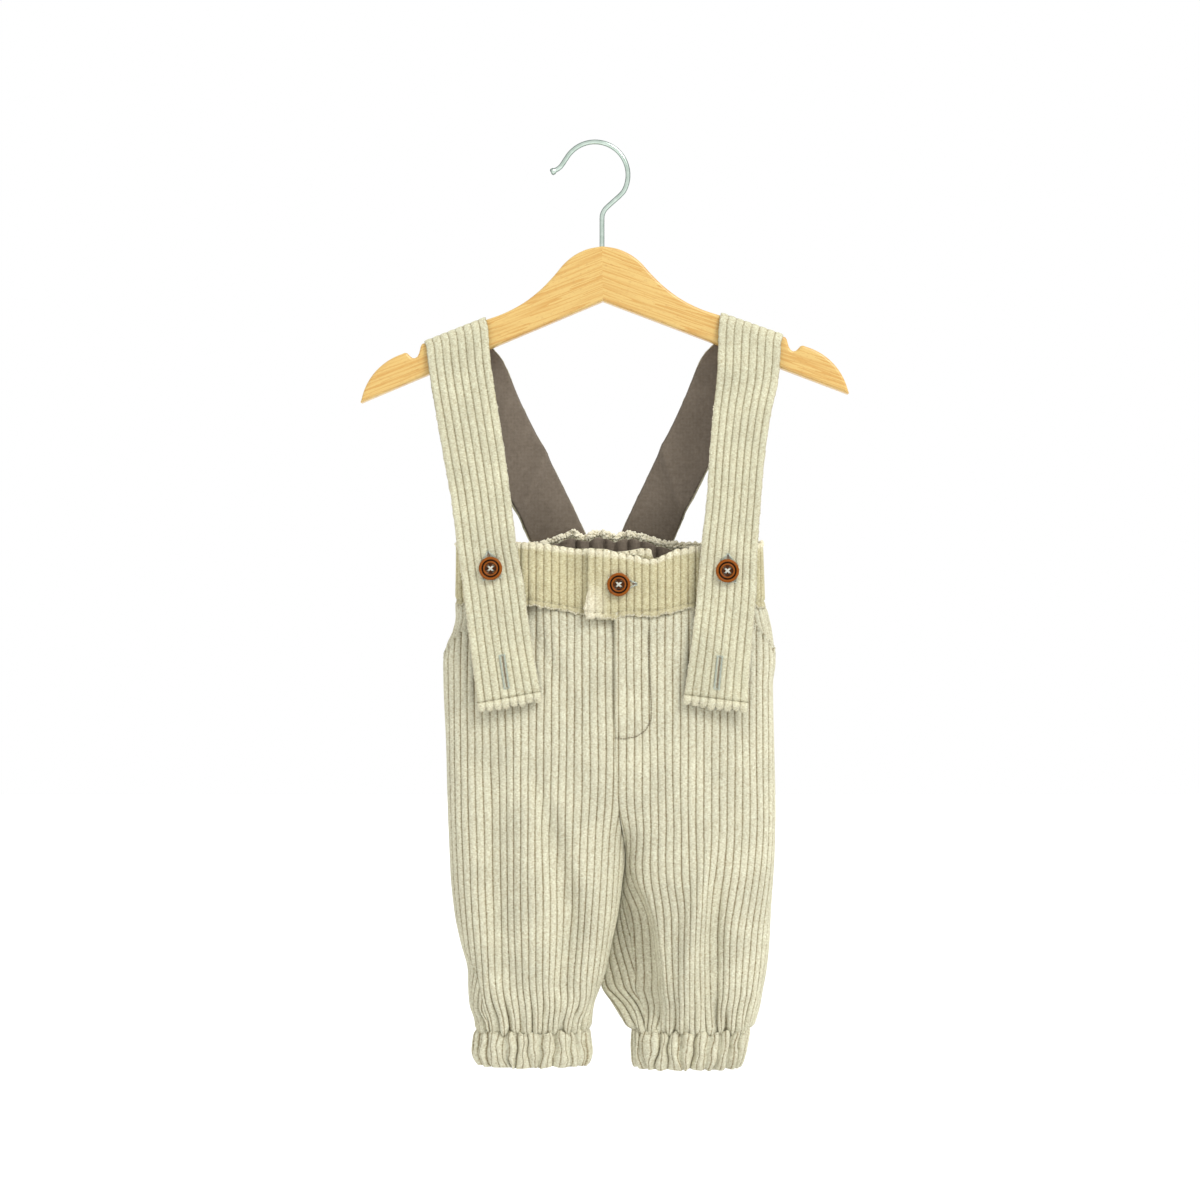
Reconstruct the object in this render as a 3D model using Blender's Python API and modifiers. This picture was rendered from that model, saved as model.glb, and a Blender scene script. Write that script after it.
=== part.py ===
"""A baby's jumbo-corduroy trousers with two button-on shoulder straps, on a child's wooden hanger.

It runs in Blender 4.5. Sizes are in millimetres and become metres where a mesh is made. +Z is up, -Y is the
front, and left and right are as seen from the front. The origin is on the inside of the hook's wire, straight
above the middle of the hanger, where a peg or a rail carries the whole.
"""

import math

import bmesh
import bpy
import numpy as np
from mathutils import Matrix, Vector

MM = 0.001
SIDES = {"left": -1, "right": 1}


def table(names, *rows):
    """Columns by name, from rows of numbers."""
    return dict(zip(names.split(), np.array(rows, float).T))


# Cloth and seams
GAP = 0.3                 # between neighbouring pieces
SEAM = 0.15               # from a piece's edge to the middle of its seam
WALL = 2.4                # jumbo corduroy, from the plain inside to the top of a wale
WALE = 5.0                # from wale to wale
WALE_DEPTH = 1.1          # from the top of a wale down into the groove beside it
EDGE_DROP = 0.6           # a cut edge lies this far below the tops of the wales
LINING = 0.8              # plain cotton

# Levels down the trousers
WAIST_SEAM = -300.0
WAISTBAND_HEIGHT = 40.0
POCKET_END = -334.0
SEAM_LEVELS_OUT = -345.0  # below this the rows of the panels are level
FORK_TOP = -418.0         # the centre seam starts to turn under between the legs
FORK_END = -474.0         # and has become the inseam
HEM_SEAM = -572.6
PANEL_LEVELS = (
    WAIST_SEAM, -318, POCKET_END, -362, FORK_TOP, -438, -455, FORK_END, -495, -520, -543, -559, HEM_SEAM,
)

# Section of the seat at each height: its two sides, its centre seam, and how far it bulges each way.
SEAT_SQUARENESS = 3.2     # 2 is an ellipse, and more is a squarer oval
BACK_SEAM_SHIFT = -3.0    # the centre-back seam lies beside the front one
SEAT = table(
    "z left right middle front back",
    (-250, -94.9, 104.4, 8.0, 20.5, 22.5),
    (-270, -95.0, 105.0, 8.0, 20.8, 22.6),
    (-300, -96.1, 106.2, 8.0, 22.0, 23.5),
    (-316, -98.0, 109.4, 8.0, 23.2, 25.0),
    (-334, -103.6, 112.9, 8.2, 24.6, 26.5),
    (-350, -103.0, 111.1, 8.3, 25.4, 27.0),
    (-390, -101.2, 111.9, 8.6, 26.8, 28.0),
    (-434, -100.1, 112.7, 11.1, 27.4, 28.0),
    (-458, -99.0, 112.3, 15.2, 27.0, 27.0),
    (-480, -98.0, 111.0, 15.2, 27.0, 27.0),
)

# Each leg: its inner and outer side, its bulge each way, how far its two seams have turned to the front
# (measured round it), how far its inner side leans back, and the step where the cloth at the inseam drops.
LEG_SQUARENESS = 2.5
STEP_WIDTH = 7.0
LEG_COLUMNS = "z inner outer front back inseam outseam lean step_at step_depth"
LEGS = {
    "left": table(
        LEG_COLUMNS,
        (-418, 10.0, -100.6, 27.2, 28.0, 0, 0, 0, 0, 0),
        (-438, 12.2, -100.0, 27.2, 27.6, 0, 0, 0, 0, 0),
        (-461, 15.0, -99.0, 27.0, 27.0, 0, 0, -2, 0, 0),
        (-474, 13.7, -98.4, 27.0, 27.0, 0, 0, -4, 0, 0),
        (-499, 10.4, -95.8, 26.5, 26.5, -3, 4, -6, 0, 0),
        (-517, 6.6, -92.1, 26.0, 26.0, -6, 9, -6, 0, 0),
        (-537, 2.2, -87.2, 25.0, 25.0, -8, 17, -6, 0, 0),
        (-547, -1.3, -87.0, 24.2, 24.2, -8, 20, -5, 0, 0),
        (-558, -5.4, -85.8, 23.2, 23.2, -8, 21, -3, 0, 0),
        (-570, -7.6, -82.1, 21.8, 21.8, -8, 20, -1, 0, 0),
        (-577, -7.8, -82.5, 21.2, 21.2, -8, 20, 0, 0, 0),
        (-590, -6.6, -83.6, 21.6, 21.6, -8, 20, 0, 0, 0),
        (-598, -8.0, -81.6, 20.0, 20.0, -8, 20, 0, 0, 0),
    ),
    "right": table(
        LEG_COLUMNS,
        (-418, 10.3, 112.5, 27.2, 28.0, 0, 0, 0, 16.0, 0.0),
        (-438, 12.5, 112.7, 27.2, 27.6, 0, 0, 0, 16.0, 0.0),
        (-461, 15.1, 112.2, 27.0, 27.0, 0, 0, 2, 18.0, 2.0),
        (-474, 13.7, 111.5, 27.0, 27.0, 3, 0, 5, 20.0, 5.0),
        (-499, 10.1, 109.7, 26.5, 26.5, 12, -4, 7, 31.0, 9.0),
        (-517, 6.2, 108.9, 26.0, 26.0, 18, -8, 8, 35.5, 10.0),
        (-537, 1.8, 106.8, 25.0, 25.0, 25, -12, 8, 38.0, 10.0),
        (-547, -0.6, 104.8, 24.2, 24.2, 28, -12, 7, 38.5, 8.5),
        (-558, 5.8, 102.5, 23.2, 23.2, 27, -12, 4, 38.5, 6.0),
        (-570, 12.6, 98.4, 21.8, 21.8, 22, -12, 1, 38.5, 2.5),
        (-577, 17.2, 95.8, 21.2, 21.2, 18, -12, 0, 38.5, 0.0),
        (-590, 18.2, 92.2, 21.6, 21.6, 18, -12, 0, 38.5, 0.0),
        (-598, 19.2, 89.6, 20.0, 20.0, 18, -12, 0, 38.5, 0.0),
    ),
}

# Soft folds that run down each panel: where each lies, how far it is pressed in, and how wide it is.
# A fold with a negative depth is a ridge.
FOLD_COLUMNS = "z x depth width"
FOLDS = {
    ("left", "front"): (
        table(FOLD_COLUMNS, (-316, -42, 0, 6), (-342, -25, 1.1, 7), (-362, -15, 0.6, 7), (-388, -8, 0, 6)),
        table(FOLD_COLUMNS, (-366, -64, 0, 8), (-445, -60, 1.8, 9), (-509, -59, 3.0, 10), (-574, -46, 0, 8)),
        table(FOLD_COLUMNS, (-404, -48, 0, 5), (-445, -25, 1.2, 6), (-509, -15, 2.4, 8), (-574, -27, 0, 6)),
        table(FOLD_COLUMNS, (-420, -48, 0, 9), (-488, -42, -1.4, 9), (-541, -36, -1.8, 8), (-574, -33, 0, 6)),
    ),
    ("right", "front"): (
        table(FOLD_COLUMNS, (-455, 73, 0, 5), (-499, 61.5, -2.2, 5), (-552, 55, -1.4, 6), (-574, 52, 0, 6)),
        table(FOLD_COLUMNS, (-492, 77, 0, 8), (-530, 78, 2.2, 9), (-560, 78, 2.0, 8), (-574, 77, 0, 6)),
        table(FOLD_COLUMNS, (-304, 16, 0, 10), (-366, 18, -1.0, 10), (-392, 18, 0, 10)),
    ),
    ("left", "back"): (
        table(FOLD_COLUMNS, (-390, -66, 0, 9), (-470, -62, 2.2, 10), (-530, -52, 2.8, 9), (-574, -44, 0, 8)),
        table(FOLD_COLUMNS, (-352, -10, 0, 10), (-430, -24, 1.6, 11), (-520, -26, 2.4, 9), (-574, -30, 0, 7)),
    ),
    ("right", "back"): (
        table(FOLD_COLUMNS, (-380, 76, 0, 9), (-455, 70, 2.0, 10), (-525, 66, 2.8, 9), (-574, 60, 0, 8)),
        table(FOLD_COLUMNS, (-360, 22, 0, 10), (-450, 34, 1.8, 10), (-520, 38, 2.2, 9), (-574, 42, 0, 7)),
    ),
}

# Pitch of the wales, measured along the section: the gathers press them together.
PITCH = {
    "front": table("z wale", (-250, 5.0), (-470, 5.0), (-510, 4.8), (-548, 4.3), (-573, 3.7), (-600, 3.7)),
    "back": table("z wale", (-300, 4.0), (-350, 4.5), (-440, 4.9), (-510, 4.8), (-573, 3.7), (-600, 3.7)),
}
# The straight grain runs down each panel at this distance from the middle.
GRAIN = {
    ("left", "front"): -45.0,
    ("right", "front"): 58.0,
    ("left", "back"): -43.0,
    ("right", "back"): 53.0,
}
BACK_BAND_GRAIN = 5.0
OUTER_STEP = 0.5          # wales from one column of points to the next on the outer face
INNER_STEP = 2.0
MOST_WALES = 40           # no panel has more than this on one side of its grain line
SNAP = 0.3                # a column nearer than this to a panel's edge lies on the edge

# Edges that cross the trousers, as heights across their width.
FRONT_TOP = table(
    "x z",
    (-110, -258), (-53, -259.0), (-29, -261.3), (-10, -263.2), (5, -264.7), (21, -267.3), (31, -269.4),
    (38, -268.0), (47, -264.1), (62, -261.3), (80, -259.5), (120, -258),
)
FRONT_SEAM = table(
    "x z",
    (-110, -297.5), (-49, -297.5), (-35, -299.4), (-11, -303.6), (8, -304.6), (33, -304.4), (43, -302.7),
    (60, -299.5), (120, -298.5),
)
BACK_TOP = table(
    "x z",
    (-110, -258), (-60, -259.0), (-40, -257.0), (-24, -252.2), (0, -250.6), (22, -252.2), (40, -256.6),
    (60, -259.0), (120, -258),
)
BACK_SEAM = table("x z", (-110, -298), (120, -298))

# Front closing: the right-hand waistband laps over the left-hand one, and the front over a mock fly.
FLAP_EDGE = -9.3
FLAP_LIFT = 2.8
FLAP_RETURN = 20.0        # the lift dies away over this distance past the end underneath
FLAP_DROP = 3.2           # its loose end hangs below the waist seam by this much
FLAP_DROP_AT = 8.0
FLAP_DROP_WIDTH = 6.0
LAP_END = 34.0            # end of the left-hand waistband, under the flap
UNDERLAP_DROP = 1.5
FLY_LIFT = 1.3
FLY_WIDTH = 24.0
FLY_END = -384.0
FLY_END_FADE = 20.0
FLY_TOP_FADE = 12.0
BAND_SHARES = (0, 0.07, 0.93, 1)
BAND_ROUNDING = 0.7

# Slanted pockets
POCKET_MOUTH = 24.0       # how far the mouth runs in from the side seam at the waist
POCKET_DROP = 1.2
POCKET_LEVELS = (WAIST_SEAM, -318, -330)
POCKET_STEPS = 8

# Gathers
BACK_FLUTE = 3            # wales in each flute of the elasticated back waist
BACK_FLUTE_RISE = 1.5
BACK_FLUTE_FALL = 2.4
BACK_FLUTE_SPREAD = 0.8   # the flutes deepen by this share from the seam to the loose edge
BACK_FLUTE_FADE = 10.0    # they die away over this distance at the side seams
BACK_GATHER_END = -340.0
BACK_BAND_SHARES = (0, 0.94, 1)
BAND_STEPS = {"outer": OUTER_STEP, "inner": 1.0}
LINING_SHARES = (0.05, 1)
LINING_STEPS = {"outer": 1.0, "inner": 1.0}
LINING_DROP = 3.0         # the lining stops this far below the band's top
HEM_GATHER_TOP = -540.0
HEM_FLUTE = 2             # wales in each flute above a hem's elastic
HEM_FLUTE_RISE = 1.5

# Cuffs
CUFF = table("z inset", (HEM_SEAM - GAP, 0.6), (-580, 0.0), (-593.5, 0.2), (-597.3, 1.8))
CUFF_WALL = 2.8
CUFF_FLUTES = 25
CUFF_FLUTE_DEPTH = 1.7
HEM_RISE = {"left": 0.8, "right": -0.8}
HEM_RISE_FADE = 20.0

# Each strap from its buttoned end up the front, and from the hanger down the back: the middle of its lining
# face, the slope of its width against the level, how far it turns from facing front or back, and its width.
STRAP_COLUMNS = "x y z slope turn width"
STRAP_FRONT = {
    "left": table(
        STRAP_COLUMNS,
        (-58.9, -27.0, -362.8, 10.6, 0, 41.6),
        (-62.2, -26.4, -341.0, 10.2, 0, 40.4),
        (-65.2, -25.2, -320.9, 10.0, 0, 39.4),
        (-69.7, -23.0, -287.3, 9.7, 0, 39.1),
        (-73.8, -21.6, -261.4, 10.5, 0, 37.9),
        (-78.1, -18.2, -228.1, 10.3, 0, 38.4),
        (-82.3, -15.2, -202.2, 9.6, 0, 39.5),
        (-86.8, -12.2, -175.9, 10.2, 0, 40.0),
        (-91.6, -8.8, -146.0, 12.5, 0, 40.4),
    ),
    "right": table(
        STRAP_COLUMNS,
        (72.5, -27.0, -363.6, -7.4, 0, 42.0),
        (74.6, -26.4, -342.0, -6.9, 0, 39.8),
        (76.8, -25.2, -322.2, -6.7, 0, 38.7),
        (79.9, -23.0, -291.4, -6.6, 0, 38.0),
        (81.6, -21.6, -264.2, -6.2, 0, 36.3),
        (84.6, -18.2, -232.6, -6.4, 0, 35.0),
        (86.8, -15.2, -204.2, -6.4, 0, 35.7),
        (90.1, -12.2, -175.9, -7.0, 0, 37.3),
        (94.2, -8.9, -150.2, -9.5, 0, 40.0),
    ),
}
STRAP_BACK = {
    "left": table(
        STRAP_COLUMNS,
        (-82.4, 8.6, -148.0, 24.0, 6, 40.5),
        (-68.4, 12.2, -176.2, 25.0, 14, 39.0),
        (-45.5, 18.6, -219.9, 25.0, 16, 37.0),
        (-34.2, 23.2, -243.0, 24.8, 10, 36.4),
        (-27.0, 27.2, -259.5, 22.0, 4, 36.6),
        (-22.0, 27.4, -272.0, 14.0, 0, 37.0),
    ),
    "right": table(
        STRAP_COLUMNS,
        (82.8, 8.6, -145.0, -24.0, -6, 39.4),
        (68.4, 12.2, -173.8, -25.0, -14, 37.4),
        (46.7, 18.6, -216.9, -25.0, -16, 35.0),
        (34.9, 23.2, -242.0, -24.8, -10, 34.2),
        (28.0, 27.2, -258.5, -22.0, -4, 34.2),
        (23.6, 27.4, -271.5, -14.0, 0, 35.4),
    ),
}
STRAP_WALES = 8
STRAP_SEAT = 96.0         # from the middle of the hanger to the middle of a strap
STRAP_SEAT_WIDTH = 42.6
STRAP_SEAT_RISE = 0.5     # its lining face lies this far above the wood
STRAP_BEND = (-12, 22, 45, 68, 90, 112, 135, 158, 192)
STRAP_BEND_SQUARENESS = 4.0
STRAP_LINING_SHARE = 0.97
STRAP_LINING_COLUMNS = (-0.5, -0.17, 0.17, 0.5)

# Hanger: distances from its middle and heights above its top there, before it tilts.
ARM_TOP = -66.1
ARM_THICKNESS = 12.0
ARM_EDGE = 2.0            # rounding along its edges
ARM_SLOPE = 20.5
HANGER_TILT = math.radians(1.05)
ARM_UPPER = table(
    "reach height",
    (0, 0), (8.4, -1.4), (16.4, -4.6), (24.2, -10.3), (31.5, -18.6), (40.3, -27.4), (52, -36.1), (65, -42.6),
    (78, -47.0), (98, -54.0), (117.6, -61.2),
)
ARM_CURVE_END = 78.0
ARM_CURVE_STEPS = 13
STRAP_NOTCH = ((118.6, -62.4), (119.8, -66.8), (122.6, -70.4), (125.8, -69.0), (128.2, -66.2))
ARM_SHOULDER = {"centre": (119.4, -105.2), "radius": 39.4, "degrees": (71, 60, 49, 38, 27, 15)}
ARM_TIP = (158.6, -99.3)
ARM_INNER_CORNER = (0, -35.6)
ARM_OVERCUT = ((-6, -36.5), (-6, -0.6))
BORE_DEPTH = 11.0
BORE_SIDES = 12

# Hook, as x and z
WIRE_RADIUS = 1.7
HOOK_CENTRE = (-4.6, -19.3)
HOOK_RADIUS = 21.5
HOOK_DEGREES = range(-26, 146, 12)
HOOK_SHANK = (
    (0, ARM_TOP - BORE_DEPTH + 1), (0, -56), (0, -47.5), (0.3, -44.6), (1.8, -41.8), (5.9, -38.0),
    (11.2, -33.2),
)
HOOK_END = ((-25.4, -9.9), (-27.8, -13.2), (-30.2, -15.2), (-31.0, -15.8), (-33.0, -17.2))
HOOK_CAP_SCALE = 1.35

# Buttons: middle of the back face, and half the turned profile as radius and height
BUTTONS = {
    "left": (-71.4, -26.6, -275.4),
    "right": (80.3, -26.6, -276.9),
    "waist": (10.7, -24.7, -285.7),
}
BUTTON_PROFILE = (
    (0, 2.1), (3.4, 2.2), (4.4, 2.7), (5.2, 2.3), (6.4, 3.0), (7.5, 1.9), (7.2, 0.6), (6.0, 0), (0, 0),
)
BUTTON_SIDES = 16
BUTTON_HOLE_RADIUS = 0.9
BUTTON_HOLE_OFFSET = 1.55
BUTTON_HOLE_SIDES = 6
BUTTON_DRILL = 10.0

SAMPLES = 241             # points on a section before its columns are picked from it
MERGE = 0.02              # points nearer than this are one point
SLIVER = 0.0001           # an edge shorter than this has no length


def look(columns, name, at, key="z"):
    """Value of a column at a height, on a smooth curve through the rows that never overshoots them."""
    order = np.argsort(columns[key])
    xs = columns[key][order]
    ys = columns[name][order]
    step = np.diff(xs)
    rise = np.diff(ys) / step
    tangent = np.zeros_like(ys)
    tangent[0] = rise[0]
    tangent[-1] = rise[-1]
    same_way = rise[:-1] * rise[1:] > 0
    safe = np.where(same_way, rise[:-1] * rise[1:], 1)
    tangent[1:-1] = np.where(same_way, 2 * safe / np.where(same_way, rise[:-1] + rise[1:], 1), 0)
    at = np.clip(at, xs[0], xs[-1])
    k = np.clip(np.searchsorted(xs, at) - 1, 0, len(step) - 1)
    t = (at - xs[k]) / step[k]
    start = ys[k] * (1 + 2 * t) * (1 - t) ** 2 + ys[k + 1] * t * t * (3 - 2 * t)
    return start + step[k] * (tangent[k] * t * (1 - t) ** 2 - tangent[k + 1] * t * t * (1 - t))


def ease(share):
    """0 below 0, 1 above 1, and a smooth rise between them."""
    share = np.clip(share, 0, 1)
    return share * share * (3 - 2 * share)


def wave(turns):
    """1 at whole turns and 0 half way between them."""
    return (1 + np.cos(2 * math.pi * turns)) / 2


# Sections of the trousers

def oval(start, end, depth, squareness):
    """Half an oval from one side to the other, bulging by depth along Y."""
    turn = np.linspace(0, math.pi, SAMPLES)
    reach = np.sign(np.cos(turn)) * np.abs(np.cos(turn)) ** (2 / squareness)
    x = (start + end) / 2 + (start - end) / 2 * reach
    y = depth * np.sin(turn) ** (2 / squareness)
    return np.column_stack((x, y))


def distances(points):
    """How far along a line each of its points is."""
    return np.concatenate(([0], np.cumsum(np.linalg.norm(np.diff(points, axis=0), axis=1))))


def along(points, at):
    """Points at given distances along a line."""
    run = distances(points)
    return np.column_stack([np.interp(at, run, points[:, axis]) for axis in (0, 1)])


def seat_curve(side, face, z, middle=None):
    """Section of half the seat, from its centre seam, or from another point across it, to its side seam."""
    start = look(SEAT, "right" if side == "left" else "left", z)
    end = look(SEAT, side, z)
    depth = -look(SEAT, "front", z) if face == "front" else look(SEAT, "back", z)
    whole = oval(start, end, depth, SEAT_SQUARENESS)
    run = distances(whole)
    if middle is None:
        shift = BACK_SEAM_SHIFT if face == "back" else 0
        middle = look(SEAT, "middle", z) + shift + SIDES[side] * SEAM
    first = np.interp(abs(middle - start), np.abs(whole[:, 0] - start), run)
    return along(whole, np.linspace(first, run[-1] - SEAM, SAMPLES))


def leg_halves(side, z):
    """Front and back half of a leg's section, each from its inner to its outer side."""
    leg = LEGS[side]
    inner = look(leg, "inner", z)
    outer = look(leg, "outer", z)
    front = oval(inner, outer, -look(leg, "front", z), LEG_SQUARENESS)
    beside = (look(leg, "step_at", z) - front[:, 0]) * SIDES[side] / STEP_WIDTH + 0.5
    front[:, 1] += look(leg, "step_depth", z) * ease(beside) * ease(-front[:, 1] / look(leg, "front", z))
    back = oval(inner, outer, look(leg, "back", z), LEG_SQUARENESS)
    for half in (front, back):
        inwards = ((inner + outer) / 2 - half[:, 0]) / ((outer - inner) / 2)
        half[:, 1] += look(leg, "lean", z) * ease(inwards)
    return front, back


def leg_curve(side, face, z):
    """Section of a leg's front or back panel, from its inseam to its outseam."""
    front, back = leg_halves(side, z)
    ring = np.vstack((front, back[::-1][1:], front[1:], back[::-1][1:]))
    front_length = distances(front)[-1]
    back_length = distances(back)[-1]
    inseam = front_length + back_length + look(LEGS[side], "inseam", z)
    outseam = front_length - look(LEGS[side], "outseam", z)
    if face == "front":
        outseam += front_length + back_length
        return along(ring, np.linspace(inseam + SEAM, outseam - SEAM, SAMPLES))
    return along(ring, np.linspace(inseam - SEAM, outseam + SEAM, SAMPLES))


def fold_depth(side, face, points, z):
    """How far the soft folds press a section's points in, fading out where it turns to its sides."""
    depth = np.zeros(len(points))
    for fold in FOLDS[side, face]:
        beside = (points[:, 0] - look(fold, "x", z)) / look(fold, "width", z)
        depth += look(fold, "depth", z) * np.exp(-beside * beside)
    return depth * ease(np.abs(points[:, 1]) / np.abs(points[:, 1]).max())


def panel_curve(side, face, z):
    """Section of a panel with its folds: the seat's above the fork, the leg's below it, a blend between."""
    share = ease((FORK_TOP - z) / (FORK_TOP - FORK_END))
    if share == 0:
        curve = seat_curve(side, face, z)
    elif share == 1:
        curve = leg_curve(side, face, z)
    else:
        curve = (1 - share) * seat_curve(side, face, z) + share * leg_curve(side, face, z)
    curve[:, 1] += fold_depth(side, face, curve, z) * (1 if face == "front" else -1)
    return curve


# Columns of points along a section, a wale apart or a fraction of one

def outward(points, turn):
    """Unit vectors square to a section. The turn is 1 or -1, after which side of it is outside."""
    tangent = np.gradient(points, axis=0)
    tangent /= np.linalg.norm(tangent, axis=1)[:, None]
    return np.column_stack((-tangent[:, 1], tangent[:, 0])) * turn


def facing(side, face):
    """Which way a panel's section turns, for outward."""
    return 1 if (side, face) in (("left", "front"), ("right", "back")) else -1


def spread(curve, turn, at):
    """Points on a section at given distances, and the way out of the garment at each."""
    run = distances(curve)
    normal = outward(curve, turn)
    out = np.column_stack([np.interp(at, run, normal[:, axis]) for axis in (0, 1)])
    return {"points": along(curve, at), "out": out}


def columns(curve, turn, grain, pitch, step, trim=0.0):
    """Points on a section at whole steps of wales from the grain line, cut off at the section's two ends."""
    run = distances(curve)
    beyond = np.sign(curve[:, 0] - grain)
    crossings = np.nonzero(beyond[:-1] * beyond[1:] <= 0)[0]
    k = crossings[np.argmin(np.abs(crossings - SAMPLES / 2))]
    part = (grain - curve[k, 0]) / (curve[k + 1, 0] - curve[k, 0])
    origin = run[k] + part * (run[k + 1] - run[k])
    low = -origin / pitch
    high = (run[-1] - trim - origin) / pitch
    wales = np.arange(-MOST_WALES, MOST_WALES + step / 2, step)
    wales = np.where(wales < low + SNAP, low, np.where(wales > high - SNAP, high, wales))
    cut = spread(curve, turn, origin + wales * pitch)
    cut["wales"] = wales
    cut["edge"] = (wales == low) | (wales == high)
    return cut


def wale_height(cut):
    """Height of the outer face at each column: 0 on a wale, and down in the groove between two."""
    return np.where(cut["edge"], -EDGE_DROP, -WALE_DEPTH * wave(cut["wales"] + 0.5))


def raised(cut, height, z):
    """3D points of a row of columns, moved outwards by height."""
    flat = cut["points"] + cut["out"] * np.broadcast_to(height, len(cut["points"]))[:, None]
    return np.column_stack((flat, np.broadcast_to(z, len(flat))))


# Walls of cloth

def new_rows():
    """Empty lists for a wall's rows of points and for where they lie along the row."""
    return {"outer": [], "inner": [], "outer_at": [], "inner_at": []}


def strip(mesh, upper, lower, upper_at, lower_at):
    """Faces between two rows of points that differ in number, matched by their places along the row."""
    i = 0
    j = 0
    while i < len(upper) - 1 or j < len(lower) - 1:
        step_upper = j == len(lower) - 1 or (i < len(upper) - 1 and upper_at[i + 1] <= lower_at[j + 1])
        if step_upper:
            corners = (upper[i], upper[i + 1], lower[j])
            i += 1
        else:
            corners = (upper[i], lower[j + 1], lower[j])
            j += 1
        mesh.faces.new(corners)


def grid(mesh, rows, closed):
    """Triangles between each row of points and the next, all split along the same diagonal."""
    for row, below in zip(rows, rows[1:]):
        count = len(row)
        for k in range(count if closed else count - 1):
            after = (k + 1) % count
            mesh.faces.new((row[k], row[after], below[k]))
            mesh.faces.new((row[after], below[after], below[k]))


def wall(name, rows, finish, closed=False):
    """A cloth wall with its own outer and inner face, closed round all its edges."""
    mesh = bmesh.new()
    outer = [[mesh.verts.new(Vector(point) * MM) for point in row] for row in rows["outer"]]
    inner = [[mesh.verts.new(Vector(point) * MM) for point in row] for row in rows["inner"]]
    grid(mesh, outer, closed)
    grid(mesh, inner, closed)
    for k in (0, -1):
        upper = list(outer[k])
        lower = list(inner[k])
        upper_at = list(rows["outer_at"][k])
        lower_at = list(rows["inner_at"][k])
        if closed:
            upper.append(upper[0])
            lower.append(lower[0])
            upper_at.append(math.inf)
            lower_at.append(math.inf)
        strip(mesh, upper, lower, upper_at, lower_at)
    if not closed:
        for end in (0, -1):
            grid(mesh, [[row[end] for row in outer], [row[end] for row in inner]], False)
    return finished(name, mesh, finish)


def finished(name, mesh, finish):
    """An object of the collection, from a bmesh whose doubles are merged and whose faces point outwards."""
    bmesh.ops.remove_doubles(mesh, verts=mesh.verts, dist=MERGE * MM)
    bmesh.ops.dissolve_degenerate(mesh, edges=mesh.edges, dist=SLIVER * MM)
    bmesh.ops.recalc_face_normals(mesh, faces=mesh.faces)
    if mesh.calc_volume(signed=True) < 0:
        bmesh.ops.reverse_faces(mesh, faces=mesh.faces)
    data = bpy.data.meshes.new(name)
    mesh.to_mesh(data)
    mesh.free()
    data.materials.append(finish)
    made = bpy.data.objects.new(name, data)
    PARTS.objects.link(made)
    return made


# Scene, collections and finishes

def cleared_scene():
    """An empty scene with one collection for the parts and one for the cutters."""
    for old in list(bpy.data.objects):
        bpy.data.objects.remove(old, do_unlink=True)
    parts = bpy.data.collections.new("corduroy_trousers_on_hanger")
    cutters = bpy.data.collections.new("cutters")
    for collection in (parts, cutters):
        bpy.context.scene.collection.children.link(collection)
    return parts, cutters


def finish_of(name, colour, roughness, metallic=0.0):
    """A plain finish, from a linear colour."""
    material = bpy.data.materials.new(name)
    material.use_nodes = True
    shader = material.node_tree.nodes["Principled BSDF"]
    shader.inputs["Base Color"].default_value = (*colour, 1)
    shader.inputs["Roughness"].default_value = roughness
    shader.inputs["Metallic"].default_value = metallic
    return material


def cutter(name, mesh):
    """A hidden object that a Boolean takes away."""
    data = bpy.data.meshes.new(name)
    mesh.to_mesh(data)
    mesh.free()
    made = bpy.data.objects.new(name, data)
    made.hide_render = True
    made.display_type = "WIRE"
    CUTTERS.objects.link(made)
    return made


def take_away(made, tool, name):
    """Cut a tool's shape out of an object."""
    cut = made.modifiers.new(name, "BOOLEAN")
    cut.operation = "DIFFERENCE"
    cut.object = tool


PARTS, CUTTERS = cleared_scene()
CORDUROY = finish_of("beige_corduroy", (0.72, 0.68, 0.51), 0.95)
COTTON = finish_of("taupe_cotton", (0.21, 0.17, 0.13), 0.9)
BEECH = finish_of("varnished_beech", (0.86, 0.60, 0.25), 0.4)
ZINC = finish_of("zinc_plated_wire", (0.62, 0.64, 0.62), 0.25, 1.0)
WOOD = finish_of("stained_wood", (0.30, 0.10, 0.02), 0.45)


# Trouser panels

def gather_height(wales, z, face):
    """How far the flutes of the gathers lift the outer face."""
    hem = HEM_FLUTE_RISE * ease((HEM_GATHER_TOP - z) / (HEM_GATHER_TOP - HEM_SEAM))
    height = hem * wave(wales / HEM_FLUTE)
    if face == "back":
        waist = BACK_FLUTE_RISE * ease((z - BACK_GATHER_END) / (WAIST_SEAM - BACK_GATHER_END))
        height = height + waist * wave(wales / BACK_FLUTE)
    return height


def fly_height(x, z, side):
    """The mock fly's doubled cloth lifts the right-hand front along its edge."""
    if side == "left":
        return 0 * x
    beside = 1 - ease((x - look(SEAT, "middle", z)) / FLY_WIDTH)
    return FLY_LIFT * beside * ease((z - FLY_END) / FLY_END_FADE) * ease((WAIST_SEAM - z) / FLY_TOP_FADE)


def row_level(x, z, face):
    """Height of a row's points: the top row follows the waist seam, and the rows below level out."""
    seam = look(FRONT_SEAM if face == "front" else BACK_SEAM, "z", x, key="x")
    return z + (seam - GAP - WAIST_SEAM) * ease((z - SEAM_LEVELS_OUT) / (WAIST_SEAM - SEAM_LEVELS_OUT))


def pocket_trim(z):
    """How far the slanted pocket mouth has cut the front panel back from the side seam."""
    return POCKET_MOUTH * np.clip((z - POCKET_END) / (WAIST_SEAM - POCKET_END), 0, 1)


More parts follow.
